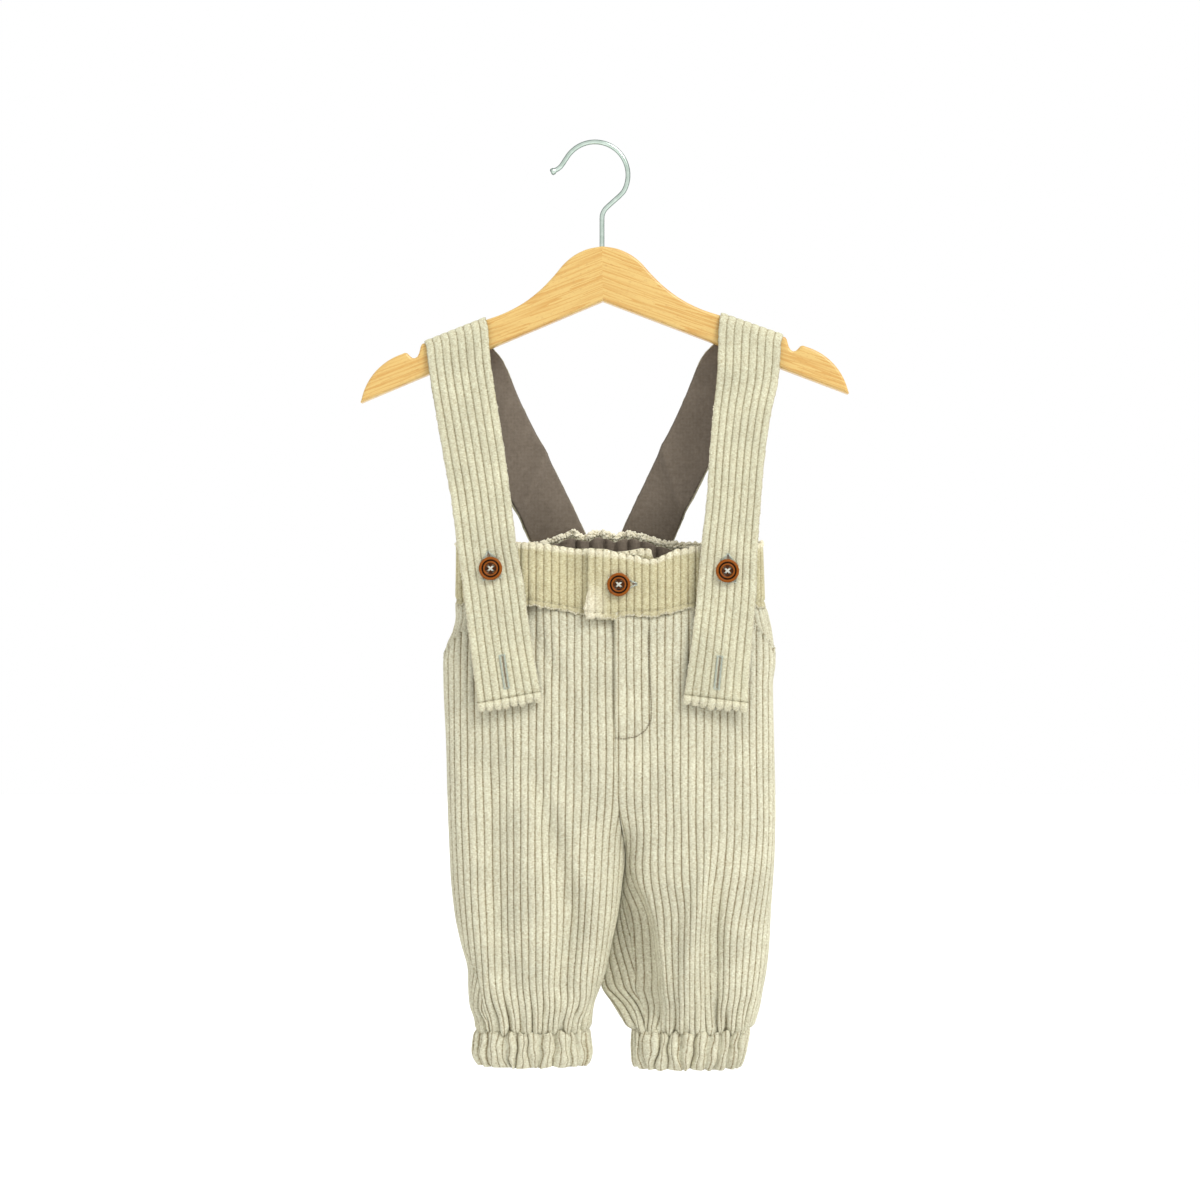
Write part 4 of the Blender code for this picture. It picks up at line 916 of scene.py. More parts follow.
def panel(side, face):
    """A front or back panel, from under the waistband to the stitches above the cuff."""
    outer = new_layer()
    inner = new_layer()
    for number, z in enumerate(PANEL_LEVELS):
        curve = panel_curve(side, face, z)
        pitch = look(PITCH[face], "wale", z)
        trim = pocket_trim(z) if face == "front" else 0.0
        drift = hem_drift(side, face, z)
        fan = None
        if side == "right":
            crowding = 1.0 if face == "front" else 0.0
            fan = (look(INNER_WALES[face], "count", z), ease((FORK_TOP - z) / 50), crowding)
        for layer, places in ((outer, OUTER_PLACES), (inner, INNER_PLACES)):
            if layer is inner and number % 3 and number < len(PANEL_LEVELS) - 1:
                continue
            cut = wale_columns(
                curve, facing(side, face), GRAIN[side, face], pitch, places, trim, fan, drift
            )
            x = cut["points"][:, 0]
            swell = panel_swell(side, face, z, cut, trim)
            rounded = edge_fall(cut["edge"])
            if layer is outer:
                pile = wale_height(cut["wales"]) * (1 - 0.7 * rounded) * (1 - 0.35 * ease(panel_tuck(z)))
                height = swell + pile - WALL / 2 * rounded - fly_stitch_fall(side, x, z)
            else:
                height = swell - WALL + WALL / 2 * rounded
            add_row(layer, cut, height, row_level(x, z, face) + hem_waver(x) * ease((HEM_SEAM + 12 - z) / 12))
    mouth_edge = [row[-3] for row, z in zip(outer["points"], PANEL_LEVELS) if POCKET_END < z < WAIST_SEAM - 1]
    return cloth(f"{face}_{side}_cloth", outer, inner, CORDUROY), mouth_edge


def fly_line():
    """The stitches of the mock fly, just proud of the right-hand front."""
    line = []
    for x, z in along(FLY_STITCHES, np.linspace(1, distances(FLY_STITCHES)[-1], 60)):
        section = panel_curve("right", "front", z)
        section = section[section[:, 1] < -12]
        section = section[np.argsort(section[:, 0])]
        here = np.array([x])
        lift = fly_height("right", here, z)[0] - fly_stitch_fall("right", here, z)[0]
        y = np.interp(x, section[:, 0], section[:, 1]) - lift - 0.25
        line.append((x, y, row_level(here, z, "front")[0]))
    return line


MOUTH_EDGES = {}
for each_side in SIDES:
    for each_face in ("front", "back"):
        node = f"{each_face}_{each_side}"
        made, MOUTH_EDGES[each_side, each_face] = panel(each_side, each_face)
        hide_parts(node)
        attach(made, "root")
# The mock fly's stitches are drawn as dark pits of painted shade.
grown("fly_stitches", [fly_line()], STITCH_TREE, SHADED_PITS)


# Side pockets
#
# A hip piece of the same corduroy lies behind each slanted pocket mouth, and is caught in the side seam and
# the waist seam. The mouth's turned edge is topstitched.

POCKET_DROP = 1.7         # the hip piece lies this far behind the front panel's face


def pocket(side):
    """The hip piece, with its own wales running down."""
    outer = new_layer()
    inner = new_layer()
    for z in (*np.linspace(WAIST_SEAM, -329, 16), -331.5, -334.0, -337.0):
        curve = seat_curve(side, "front", z)
        end = distances(curve)[-1]
        start = end - pocket_trim(z) - 1.5
        for layer, steps in ((outer, 48), (inner, 8)):
            at = np.linspace(start, end, steps + 1)
            cut = columns_at(curve, at, facing(side, "front"), (at - end) / WALE)
            sunk = POCKET_DROP * np.maximum(ease((end - at) / 7), ease((-330 - z) / 4))
            face = wale_height(cut["wales"]) if layer is outer else -WALL
            height = face - sunk - 0.8 * bump(at - start, 2.0)
            add_row(layer, cut, height, row_level(cut["points"][:, 0], z, "front"))
    return cloth(f"pocket_{side}_cloth", outer, inner, CORDUROY)


def pocket_stitches(side):
    """The line of stitches down the slanted mouth, on the front panel."""
    line = []
    for z in np.linspace(WAIST_SEAM - 2, POCKET_END + 1.5, 24):
        curve = panel_curve(side, "front", z)
        run = distances(curve)
        sunk = curve - 0.35 * outward(curve, facing(side, "front"))
        x, y = read_along(run, sunk, [run[-1] - pocket_trim(z) - POCKET_HEM])[0]
        line.append((x, y, row_level(x, z, "front")))
    return line


for each_side in SIDES:
    made = pocket(each_side)
    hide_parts(f"pocket_{each_side}")
    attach(made, "root")
    grown(f"pocket_{each_side}_stitches", [pocket_stitches(each_side)], STITCH_TREE, STITCH)
    grown(f"pocket_{each_side}_tufts", [MOUTH_EDGES[each_side, "front"]], TUFT_TREE, TUFTS)


# Front waistband
#
# Two bands of corduroy folded over at the top, so each wale ends in a soft round tip. The right-hand one laps
# over the left-hand one as a flap with cut edges. A line of stitches above the lower edge holds them down.

WAISTBAND_HEIGHT = 40.0
BAND_FACE = WAISTBAND_HEIGHT - 2   # up the cloth between its two rounded edges
FRONT_TOP = table(
    "x z",
    (-110, -258), (-53, -259.0), (-39, -259.9), (-29, -261.3), (-19, -262.5), (-10, -263.2), (5, -264.7),
    (13.5, -266.0), (21, -267.3), (28, -269.2), (34, -269.4), (40, -266.9), (47, -264.1), (54, -262.8),
    (62, -261.3), (80, -259.5), (120, -258),
)
UNDERLAP_TOP = table(
    "x z", (-20, -264.4), (5, -266.4), (14, -265.6), (22, -264.2), (28, -263.6), (34, -265.0),
)
FLAP_EDGE = -9.3          # the flap's cut end
FLAP_LIFT = 2.8           # it stands out by this, over the left-hand half,
FLAP_RETURN = 20.0        # and comes back over this length
FLAP_DROP = 3.2           # its lower edge hangs past the seam by this
LAP_END = 34.0            # the left-hand half ends here, under the flap
TIP = 1.5                 # how far the round tip of each wale stands past the edge
BAND_LAP = 1.3            # the band's lower edge lies over the panels by this much
BAND_STITCH = 3.4         # from that edge up to the stitches
FLUFF = random.uniform(-0.4, 0.6, 400)
FRAY = random.uniform(-1.0, 1.0, 4000)
ROLL = np.radians((90, 66, 44, 24, 8))   # rows of points round an edge


def fray(run):
    """Ragged ends of pile along an edge, between -1 and 1, about 1.3 mm apart."""
    return np.interp(run / 1.3 + 500, np.arange(len(FRAY)), FRAY)


def tips(wales):
    """How far a cut or folded edge reaches out at each place: a round tip on every wale."""
    beside = 2 * np.abs(wales - np.round(wales))
    return TIP * np.sqrt(1 - 0.9 * beside ** 2) + FLUFF[np.round(wales).astype(int)]


def band_rows(step):
    """Rows up a band: how far each lies from the lower edge, and how far its wall is closed there."""
    start = [WALL / 2 * (1 - math.sin(a)) for a in ROLL]
    middle = np.concatenate(((1.7, 2.5, 3.4, 4.3), np.arange(5.6, BAND_FACE - 1.5, step)))
    return [(at, roll_of(at, BAND_FACE)) for at in (*start, *middle, *[BAND_FACE - at for at in start[::-1]])]


def roll_of(at, height):
    """How far an edge's rounding has closed the wall at a distance from its nearer edge."""
    away = min(at, height - at) / (WALL / 2)
    return 1 - math.sqrt(1 - (1 - min(away, 1)) ** 2)


def wale_tops(layer, number, sink=0.0):
    """The points on top of the wales in one row of a layer, where a line of stitches crosses them."""
    wales = layer["places"][number][:, 0]
    tops = np.abs(wales - np.round(wales)) < 0.001
    points = layer["points"][number][tops]
    return points - sink * np.sign(points[:, 1:2]) * (0, 1, 0)


def stitch_line(layer, rows):
    """The line of stitches along a band, a little above its lower edge."""
    number = int(np.argmin([abs(at - BAND_STITCH) for at, _ in rows]))
    return wale_tops(layer, number, 0.1)


def band_end(side, share, at):
    """Where a front half ends: straight under the flap, or at the flap's own cut edge, which is uneven."""
    if side == "left":
        return LAP_END - 2.0 * bump(1 - share, 0.07)
    return FLAP_EDGE - 2.2 * ease((0.42 - share) / 0.25) + 1.4 * bump(share, 0.05) + 0.5 * fray(at * 1.7)


def band_edges(side, x):
    """The levels of a front half's lower and upper edge."""
    bottom = look(FRONT_SEAM, "z", x, key="x") - BAND_LAP
    top = look(FRONT_TOP, "z", x, key="x")
    if side == "right":
        return bottom - (FLAP_DROP - BAND_LAP) * (1 - ease((x - 8) / 6)), top
    hidden = ease((x - FLAP_EDGE) / 8)
    return bottom, top * (1 - hidden) + look(UNDERLAP_TOP, "z", x, key="x") * hidden


def band_lift(side, x, at, share):
    """How far a front half stands out from the form below, at a share of its height."""
    if side == "left":
        # A soft fold runs up across this half, from beside the strap towards the flap.
        return 2.4 * bump(x + 40 - 14 * share, 8) - 2.0 * (1 - share) * bump(x + 18, 7) * ease(share * 6)
    lift = FLAP_LIFT * (1 - ease((x - LAP_END - 2) / FLAP_RETURN))
    lift = lift + 1.9 * bump(x - FLAP_EDGE - 1.0, 5.0) * (1 - 0.5 * ease(share))
    lift = lift + 1.4 * (1 - ease((x - 4) / 8)) * bump(at, 9)
    # The cloth swells beside the button, leans out at the top and dips beside the strap.
    lift = lift + 1.7 * bump(x - 39, 11) * bump(share - 0.6, 0.5)
    lift = lift + 1.5 * ease((share - 0.6) / 0.4) * bump(x - 15, 17)
    return lift - 1.6 * ease((x - 50) / 8) * (1 - ease((x - 84) / 12)) * ease(share * 4)


def waistband_front(side):
    """Half the front waistband, from its front end to its side seam, with its stitches and raw edges."""
    outer = new_layer()
    inner = new_layer()
    rows = band_rows(2.0)
    for at, roll in rows:
        share = at / BAND_FACE
        curve = seat_curve(side, "front", WAIST_SEAM + WAISTBAND_HEIGHT * share, band_end(side, share, at))
        for layer, places in ((outer, BAND_PLACES), (inner, BAND_INNER_PLACES)):
            cut = wale_columns(curve, facing(side, "front"), GRAIN[side, "front"], WALE, places)
            x = cut["points"][:, 0]
            bottom, top = band_edges(side, x)
            # The lower edge is a ridge of cut pile, which is uneven and dies away at the hips.
            beside = ease((np.abs(x - 5) - 78) / 12)
            ridge = (0.75 + 0.35 * fray(x * 0.3 + 200)) * (1 - 1.5 * beside)
            lift = band_lift(side, x, at, share)
            lift = lift + 0.5 * np.sin(x / 9 + 1) * ease(share * 2)
            lift = lift + ridge * bump(at - 1.3, 1.4) + 0.5 * fray(x * 1.1 + 40) * bump(at - 1.4, 2.2)
            ragged = 0.8 * fray(x) + 0.8 * fray(x * 0.37 + 90)
            fluff = 1.5 * tips(cut["wales"]) * bump(1 - share, 0.035) + (ragged - 0.5) * bump(share, 0.04)
            closing = WALL / 2 * np.maximum(edge_fall(cut["edge"]), roll)
            if layer is outer:
                stitch = 1.3 * bump(at - BAND_STITCH, 0.8)
                flat = 0.35 * bump(at - 1.4, 1.8)
                pile = wale_height(cut["wales"]) * (1 - 0.4 * roll) * (1 - flat)
                height = lift + pile * (1 - edge_fall(cut["edge"])) - closing - stitch
            else:
                height = lift - WALL + closing
            add_row(layer, cut, height, bottom + (top - TIP - bottom) * share + fluff, at)
    made = cloth(f"waistband_{side}_cloth", outer, inner, BAND_FINISH[side])
    raw = [outer["points"][2], outer["points"][3]]
    if side == "right":
        raw.append([row[2] for row in outer["points"][2:12]])
    return made, stitch_line(outer, rows), raw


# The folded band is a little warmer and darker.
BAND_COLOURS = ("#C2BC9A", "#A89D7A", "#85795D", 0.75, "#B2AC8E", 0.6, "#DCD8C2")
BAND_FINISH = {
    "left": corduroy("brushed_cotton_corduroy_band", *BAND_COLOURS),
    "right": corduroy("brushed_cotton_corduroy_flap", *BAND_COLOURS, corner=-13.2),
}
BAND_PLACES = places_of(26, WALE_PLACES)
BAND_INNER_PLACES = places_of(26, (-0.5, 0))
for each_side in SIDES:
    made, stitched, raw_edges = waistband_front(each_side)
    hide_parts(f"waistband_{each_side}")
    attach(made, "root")
    grown(f"waistband_{each_side}_stitches", [stitched], STITCH_TREE, STITCH)
    grown(f"waistband_{each_side}_tufts", raw_edges, TUFT_TREE, {**TUFTS, "Pitch": 0.9 * MM})


# Back waistband and its lining
#
# One band of corduroy round the back with elastic in it, drawn up into puckers, and a plain cotton lining
# that shows above the front. The band is sewn to the front ones at the side seams.

BACK_TOP = table(
    "x z",
    (-110, -258), (-60, -259.0), (-46, -258.6), (-40, -257.6), (-33, -255.3), (-26, -252.8), (-18, -250.9),
    (-11.8, -253.2), (-7, -251.9), (-1, -250.4), (8.6, -253.2), (17.1, -251.2), (24.4, -252.2),
    (36.9, -256.0), (48, -258.8), (60, -259.4), (120, -258),
)
BACK_RISE = 1.5           # the band's ridges stand out by this
BACK_FALL = 3.3           # and its puckers are this deep
BACK_GRAIN = 5.0          # its wales are counted from here
BACK_WALE = 4.0           # and the elastic draws them together to this
LINING = 0.8              # how thick the cotton lining is
GAP = 0.3                 # between the lining and the corduroy
LINING_DROP = 3.2         # the lining ends this far below the band's top
LINING_RISE = 1.0         # and begins this far above the seam
LOBE = 6.0                # it is fuller than the band, and stands in by this between the puckers


def back_curve(z):
    """The back of the waist from side seam to side seam at one level, with the places of its two ends."""
    left = look(SEAT, "left", z)
    right = look(SEAT, "right", z)
    whole = oval(right, left, look(SEAT, "back", z), SEAT_SQUARENESS)
    curve = along(whole, np.linspace(0, distances(whole)[-1], SAMPLES))
    curve[[0, -1], 1] = -LAP
    return curve, left, right


def back_band(name, thickness, below, finish, places, pile):
    """A puckered band round the back, with a line of stitches and a ruffled top, or its plain lining."""
    outer = new_layer()
    inner = new_layer()
    rows = band_rows(2.6)
    for at, roll in rows:
        share = at / BAND_FACE
        curve, left, right = back_curve(WAIST_SEAM + WAISTBAND_HEIGHT * share)
        for layer, fine in ((outer, places), (inner, BACK_INNER_PLACES)):
            cut = wale_columns(curve, facing("left", "back"), BACK_GRAIN, BACK_WALE, fine)
            x = cut["points"][:, 0]
            bottom = look(BACK_SEAM, "z", x, key="x")
            top = look(BACK_TOP, "z", x, key="x")
            fade = ease((right - x - 2) / 10) * ease((x - left - 2) / 10)
            fluff = 0
            if pile:
                bottom = bottom - BAND_LAP
                deep = BACK_FALL * (1 + 0.8 * (share - 0.5))
                height = (BACK_RISE - deep * (1 - pucker(x))) * fade - below
                fluff = (1.3 * tips(cut["wales"]) + 0.3 * fray(x)) * bump(1 - share, 0.03)
                fluff = fluff + (0.5 * fray(x + 300) - 0.5) * bump(share, 0.04)
            else:
                bottom = bottom + LINING_RISE
                lobe = pucker(x) ** 0.5
                height = (BACK_RISE - BACK_FALL * (0.5 + 0.8 * share) - LOBE * lobe) * fade - below
                top = top - LINING_DROP + 1.3 * lobe - 0.6
            closing = thickness / 2 * np.maximum(edge_fall(cut["edge"]), roll)
            if layer is outer:
                if pile:
                    height = height + 0.7 * bump(at - 1.4, 1.9) * fade
                    stitch = 0.7 * bump(at - BAND_STITCH, 0.9)
                    height = height + wale_height(cut["wales"]) * (1 - edge_fall(cut["edge"])) - stitch
                height = height - closing
            else:
                height = height - thickness + closing
            add_row(layer, cut, height, bottom + (top - TIP - bottom) * share + fluff, at)
    made = cloth(name, outer, inner, finish)
    ruffle = [outer["points"][-2], outer["points"][-4], inner["points"][-3], inner["points"][-5]]
    return made, stitch_line(outer, rows), ruffle


def cotton(name, light, dark):
    """Plain-woven cotton: matt, with a fine weave of threads and faint soft creases in painted shade."""
    material, tree = new_material(name, Roughness=0.88, Specular_IOR_Level=0.25, Sheen_Weight=0.08)
    place = add_node(tree, "ShaderNodeTexCoord").outputs["Object"]
    # The threads are 0.35 mm apart, and are drawn 0.9 mm apart so that they show.
    threads = []
    for direction in ("X", "Z"):
        settings = {"wave_type": "BANDS", "bands_direction": direction, "wave_profile": "SIN"}
        wave = add_node(
            tree, "ShaderNodeTexWave", settings, Vector=place, Scale=340.0, Distortion=1.2,
            Detail=2.0, Detail_Scale=2.0,
        )
        threads.append(wave.outputs[1])
    weave = add_node(tree, "ShaderNodeMath", {"operation": "MAXIMUM"}, _0=threads[0], _1=threads[1])
    # Slubs, where a thread is thicker, are about 2 mm long, and the soft creases about 2 cm; the creases
    # raise relief and are darkened as painted shade.
    slub = add_node(tree, "ShaderNodeTexNoise", Vector=place, Scale=420.0, Detail=4.0, Roughness=0.7)
    patch = add_node(tree, "ShaderNodeTexNoise", Vector=place, Scale=45.0, Detail=2.0)
    mix = add_node(tree, "ShaderNodeMath", {"operation": "MULTIPLY"}, _0=weave, _1=0.35)
    for share, strength in ((slub, 0.8), (patch, 0.45)):
        mix = add_node(
            tree, "ShaderNodeMath", {"operation": "MULTIPLY_ADD"}, _0=share, _1=strength, _2=mix
        )
    tone = add_node(tree, "ShaderNodeMapRange", Value=mix, From_Min=0.55, From_Max=1.25)
    colour = add_node(tree, "ShaderNodeMix", RGBA, _0=tone, _6=linear(dark), _7=linear(light))
    return end_material(material, colour.outputs[2], mix, 0.4, 0.0003)


COTTON = cotton("plain_woven_cotton", "#7F7467", "#5C5246")
# The waist's lining is the straps' cotton with painted shade: its dark shade is deeper, its light one a
# little paler.
WAIST_COTTON_SHADED = cotton("plain_woven_cotton_waist_shaded", "#897D6E", "#50463C")
BACK_PLACES = places_of(31, WALE_PLACES)
BACK_INNER_PLACES = places_of(31, (-0.5, -0.25, 0, 0.25))
made, stitched, ruffle = back_band("waistband_back_cloth", WALL, 0.0, CORDUROY, BACK_PLACES, True)
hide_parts("waistband_back")
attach(made, "root")
grown("waistband_back_stitches", [stitched], STITCH_TREE, STITCH)
# The ruffle's curls are paler than the loose pile, as painted light against the shade they lie in.
PAINTED_LIGHT_CURLS = {
    "Pitch": 1.9 * MM, "Scatter": 0.5 * MM, "Least": (0.9 * MM, 0.8 * MM, 0.7 * MM),
    "Most": (1.7 * MM, 1.4 * MM, 1.2 * MM), "Finish": loose_pile("curled_cotton_pile_painted_light", "#F3EFDC", "#CFC7A8"),
}
grown("waistband_back_curls", ruffle, TUFT_TREE, PAINTED_LIGHT_CURLS)
made, *_ = back_band(
    "waistband_lining_cloth", LINING, WALL + GAP, WAIST_COTTON_SHADED, BACK_INNER_PLACES, False
)
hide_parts("waistband_lining")
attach(made, "root")


# Cuffs
#
# The hem of each leg is turned up over elastic and stitched, which gathers it into a ring of soft flutes. The
# wales run on into it.

CUFF_TOP = HEM_SEAM - 0.1
CUFF_HEIGHT = 24.2
CUFF_WALL = 3.0
CUFF_WALES = 48           # round one cuff
CUFF_FLUTE = 4.6          # how deep its flutes are
HEM_RISE = {"left": 0.8, "right": -0.8}   # the hanger's tilt lifts one lower edge and drops the other
# Rows down a cuff: how far each lies from the stitches, and how far its wall is closed there.
CUFF_ROWS = (
    (0.0, 1.0), (0.5, 0.65), (1.3, 0.35), (2.4, 0.12),
    *((at, 0.0) for at in np.arange(4.0, 20.6, 1.65)),
    (21.4, 0.05), (22.6, 0.2), (23.6, 0.45), (24.2, 0.72), (CUFF_HEIGHT, 1.0),
)


def cuff(side):
    """A fluted tube: pinched at the stitches, full in the middle and folded under at the bottom."""
    outer = new_layer()
    inner = new_layer()
    generator = np.random.default_rng(21 if side == "left" else 34)
    count = CUFF_WALES // 2
    # Each flute has its own depth, slant, width and length.
    depth = generator.uniform(0.2, 1.4, count)
    slant = generator.uniform(-0.7, 0.7, count)
    width = generator.uniform(-0.42, 0.42, count)
    ends = generator.uniform(-0.9, 0.9, count)
    fine = (np.arange(CUFF_WALES)[:, None] + np.array(WALE_PLACES)).ravel()
    coarse = np.arange(0, CUFF_WALES, 0.5)

    def around(values, place):
        return np.interp(place % count, np.arange(count + 1), [*values, values[0]])

    for at, closing in CUFF_ROWS:
        z = CUFF_TOP - at
        front, back = leg_halves(side, z)
        ring = np.vstack((front, back[::-1][1:]))
        length = distances(ring)[-1]
        share = at / CUFF_HEIGHT
        for layer, wales in ((outer, fine), (inner, coarse)):
            # The wales sway as they run down, and each wavers a little.
            sway = 1.1 * around(slant, wales / 2) * math.sin(3.6 * share + 0.4)
            sway = sway + 0.1 * np.sin(8 * share + wales * 1.7) + 0.07 * np.sin(13 * share - wales * 0.9)
            run = ((wales + sway) / CUFF_WALES % 1) * length
            cut = columns_at(ring, run, -SIDES[side], wales)
            phase = wales / 2 + 0.25 + around(width, wales / 2)
            phase = phase + 0.5 * around(slant, wales / 2) * (share - 0.5)
            deep = around(depth, phase)
            wave = np.abs(np.cos(math.pi * phase)) ** 0.75
            full = 0.5 * math.sin(math.pi * min(share * 1.12, 1)) ** 0.6 - 0.5 * bump(at, 2.0)
            soft = full + CUFF_FLUTE * deep * (wave - 0.84)
            if layer is outer:
                height = soft + 0.8 * wale_height(wales) * (1 - 0.5 * closing) - CUFF_WALL / 2 * closing
            else:
                height = soft - CUFF_WALL + CUFF_WALL / 2 * closing
            uneven = 0.7 * (1 - wave) * deep + 0.4 * around(ends, phase)
            level = z + HEM_RISE[side] * ease(share) + uneven * ease(share * 2 - 1)
            level = level + hem_waver(cut["points"][:, 0]) * (1 - ease(share * 2))
            add_row(layer, cut, height, level)
    made = cloth(f"cuff_{side}_cloth", outer, inner, CORDUROY, closed=True)
    line = wale_tops(outer, 2)
    return made, np.vstack((line, line[:1]))


for each_side in SIDES:
    made, stitched = cuff(each_side)
    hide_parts(f"cuff_{each_side}")
    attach(made, "root")
    grown(f"cuff_{each_side}_stitches", [stitched], STITCH_TREE, STITCH)


# Shoulder straps
#
# Two straight bands of corduroy, eight wales wide, lined with cotton. Each is sewn on the outside of the back
# waistband with a box of stitches, hangs over the hanger and buttons to the front. Its front end is cut and
# stitched across.

# Stations up a strap: its middle, how far it slopes and how far it is turned, in degrees, and its width.
STRAP_COLUMNS = "x y z slope turn width"
STRAP_FRONT = {
    "left": table(
        STRAP_COLUMNS,
        (-58.9, -27.0, -362.8, 10.6, 0, 41.6),
        (-62.2, -26.4, -341.0, 10.2, 0, 40.4),
        (-65.2, -25.2, -320.9, 10.0, 0, 39.4),
        (-69.7, -23.0, -287.3, 9.7, 0, 39.1),
        (-73.8, -21.6, -261.4, 10.5, 0, 37.9),
        (-78.1, -18.2, -228.1, 10.3, 0, 38.4),
        (-82.3, -15.2, -202.2, 9.6, 0, 39.5),
        (-86.8, -12.2, -175.9, 10.2, 0, 40.0),
        (-91.6, -8.8, -146.0, 12.5, 0, 40.4),
    ),
    "right": table(
        STRAP_COLUMNS,
        (72.5, -27.0, -363.6, -7.4, 0, 42.0),
        (74.6, -26.4, -342.0, -6.9, 0, 39.8),
        (76.8, -25.2, -322.2, -6.7, 0, 38.7),
        (79.9, -23.0, -291.4, -6.6, 0, 38.0),
        (81.6, -21.6, -264.2, -6.2, 0, 36.3),
        (84.6, -18.2, -232.6, -6.4, 0, 35.0),
        (86.8, -15.2, -204.2, -6.4, 0, 35.7),
        (90.1, -12.2, -175.9, -7.0, 0, 37.3),
        (94.2, -8.9, -150.2, -9.5, 0, 40.0),
    ),
}
STRAP_BACK = {
    "left": table(
        STRAP_COLUMNS,
        (-82.4, 8.6, -148.0, 24.0, 6, 40.5),
        (-68.4, 12.2, -176.2, 25.0, 14, 39.0),
        (-45.5, 18.6, -219.9, 25.0, 16, 37.0),
        (-34.2, 23.2, -243.0, 24.8, 10, 36.4),
        (-27.0, 25.9, -259.5, 22.0, 4, 36.6),
        (-22.0, 25.3, -272.0, 14.0, 0, 37.0),
    ),
    "right": table(
        STRAP_COLUMNS,
        (82.8, 8.6, -145.0, -24.0, -6, 39.4),
        (68.4, 12.2, -173.8, -25.0, -14, 37.4),
        (46.7, 18.6, -216.9, -25.0, -16, 35.0),
        (34.9, 23.2, -242.0, -24.8, -10, 34.2),
        (28.0, 25.9, -258.5, -22.0, -4, 34.2),
        (23.6, 25.3, -271.5, -14.0, 0, 35.4),
    ),
}
STRAP_WALES = 8
STRAP_WIDTH = 40.0        # as cut
STRAP_SEAT = 96.0         # it crosses the hanger this far out from the middle
STRAP_SEAT_WIDTH = 42.6   # where it is spread to this
STRAP_BEND = (-12, 10, 32, 50, 68, 90, 112, 130, 148, 170, 192)   # degrees round the hanger's arm
STRAP_SQUEEZE = 0.42      # the pile is pressed down to this share over the hanger
STRAP_STITCH = 5.0        # from the cut end up to the stitches across
ARM_TOP = -66.1           # the hanger's top at its middle, below the point it hangs from
ARM_THICKNESS = 12.0
ARM_SLOPE = 20.5          # degrees
HANGER_TILT = math.radians(1.05)
# The upper edge of an arm, out from the middle.
ARM_UPPER = table(
    "reach height",
    (0, 0), (8.4, -1.4), (16.4, -4.6), (24.2, -10.3), (31.5, -18.6), (40.3, -27.4), (52, -36.1), (65, -42.6),
    (78, -47.0), (98, -54.0), (117.6, -61.2),
)


def arm_point(reach, height):
    """A point on the hanger, from its distance along the arm and its height above the top at the middle."""
    x = reach * math.cos(HANGER_TILT) - height * math.sin(HANGER_TILT)
    z = ARM_TOP + reach * math.sin(HANGER_TILT) + height * math.cos(HANGER_TILT)
    return x, z


def strap_route(side):
    """Stations of a strap from its front end up, over the hanger and down to its back end."""
    names = STRAP_COLUMNS.split()
    front = np.column_stack([STRAP_FRONT[side][name] for name in names])
    back = np.column_stack([STRAP_BACK[side][name] for name in names])
    reach = SIDES[side] * STRAP_SEAT
    top = look(ARM_UPPER, "height", STRAP_SEAT, key="reach")
    slope = SIDES[side] * -ARM_SLOPE + math.degrees(HANGER_TILT)
    half = ARM_THICKNESS / 2 + 0.9
    over = []
    for turn in np.radians(STRAP_BEND):
        # It follows the arm's rounded square, and leans in towards the middle in front.
        round_up = math.copysign(abs(math.sin(turn)) ** 0.5, math.sin(turn))
        round_out = math.copysign(abs(math.cos(turn)) ** 0.5, math.cos(turn))
        x, z = arm_point(reach, top + half * round_up - half + 0.3)
        x -= SIDES[side] * 1.3 * max(0, 1 - turn / math.radians(50))
        over.append((x, -half * round_out, z, slope, 0, STRAP_SEAT_WIDTH))
    return np.vstack((front, over, back))


def strap_stations(side):
    """The same stations closer together: their distance along, the cloth's squeeze and its directions."""
    route = strap_route(side)
    run = distances(route[:, :3])
    rounded = WALL / 2 * (1 - np.sin(ROLL))
    by_stitches = (1.7, 2.5, 3.3, 4.0, 4.5, 5.0, 5.5, 6.1, 7.0)
    fine = np.concatenate((
        rounded, by_stitches, np.arange(8.4, run[-1] - 2, 1.8), run[-1] - rounded[::-1],
    ))
    columns = {"at": run}
    for number, name in enumerate(STRAP_COLUMNS.split()):
        columns[name] = route[:, number]
    smooth = {name: look(columns, name, fine, key="at") for name in STRAP_COLUMNS.split()}
    middle = np.column_stack((smooth["x"], smooth["y"], smooth["z"]))
    slope = np.radians(smooth["slope"])
    turn = np.radians(smooth["turn"])
    width = np.column_stack((np.cos(turn) * np.cos(slope), np.sin(turn), np.cos(turn) * np.sin(slope)))
    forward = np.gradient(middle, fine, axis=0)
    normal = np.cross(width, forward)
    normal /= np.linalg.norm(normal, axis=1)[:, None]
    bend = run[len(STRAP_FRONT[side]["x"]) + len(STRAP_BEND) // 2]
    return {
        "at": fine,
        "middle": middle,
        "width": width * smooth["width"][:, None],
        "normal": normal,
        "along": forward,
        "squeeze": 1 - (1 - STRAP_SQUEEZE) * bump(fine - bend, 11.0),
        "length": run[-1],
        "bend": bend,
    }


def strap_sag(side, at, bend, share):
    """Slow waves in the free length of a strap, and the fold where its back end meets the waistband."""
    front = ease((bend - 25 - at) / 30)
    back = ease((at - bend - 20) / 30)
    waves = 0.5 * np.sin(at / 19 + share * 2.0) * front
    crease = 2.8 * bump(at - bend - 118 - 34 * share * SIDES[side], 6.0)
    return waves + (0.9 * np.sin(at / 23 + share * 3.4 + SIDES[side]) - crease) * back


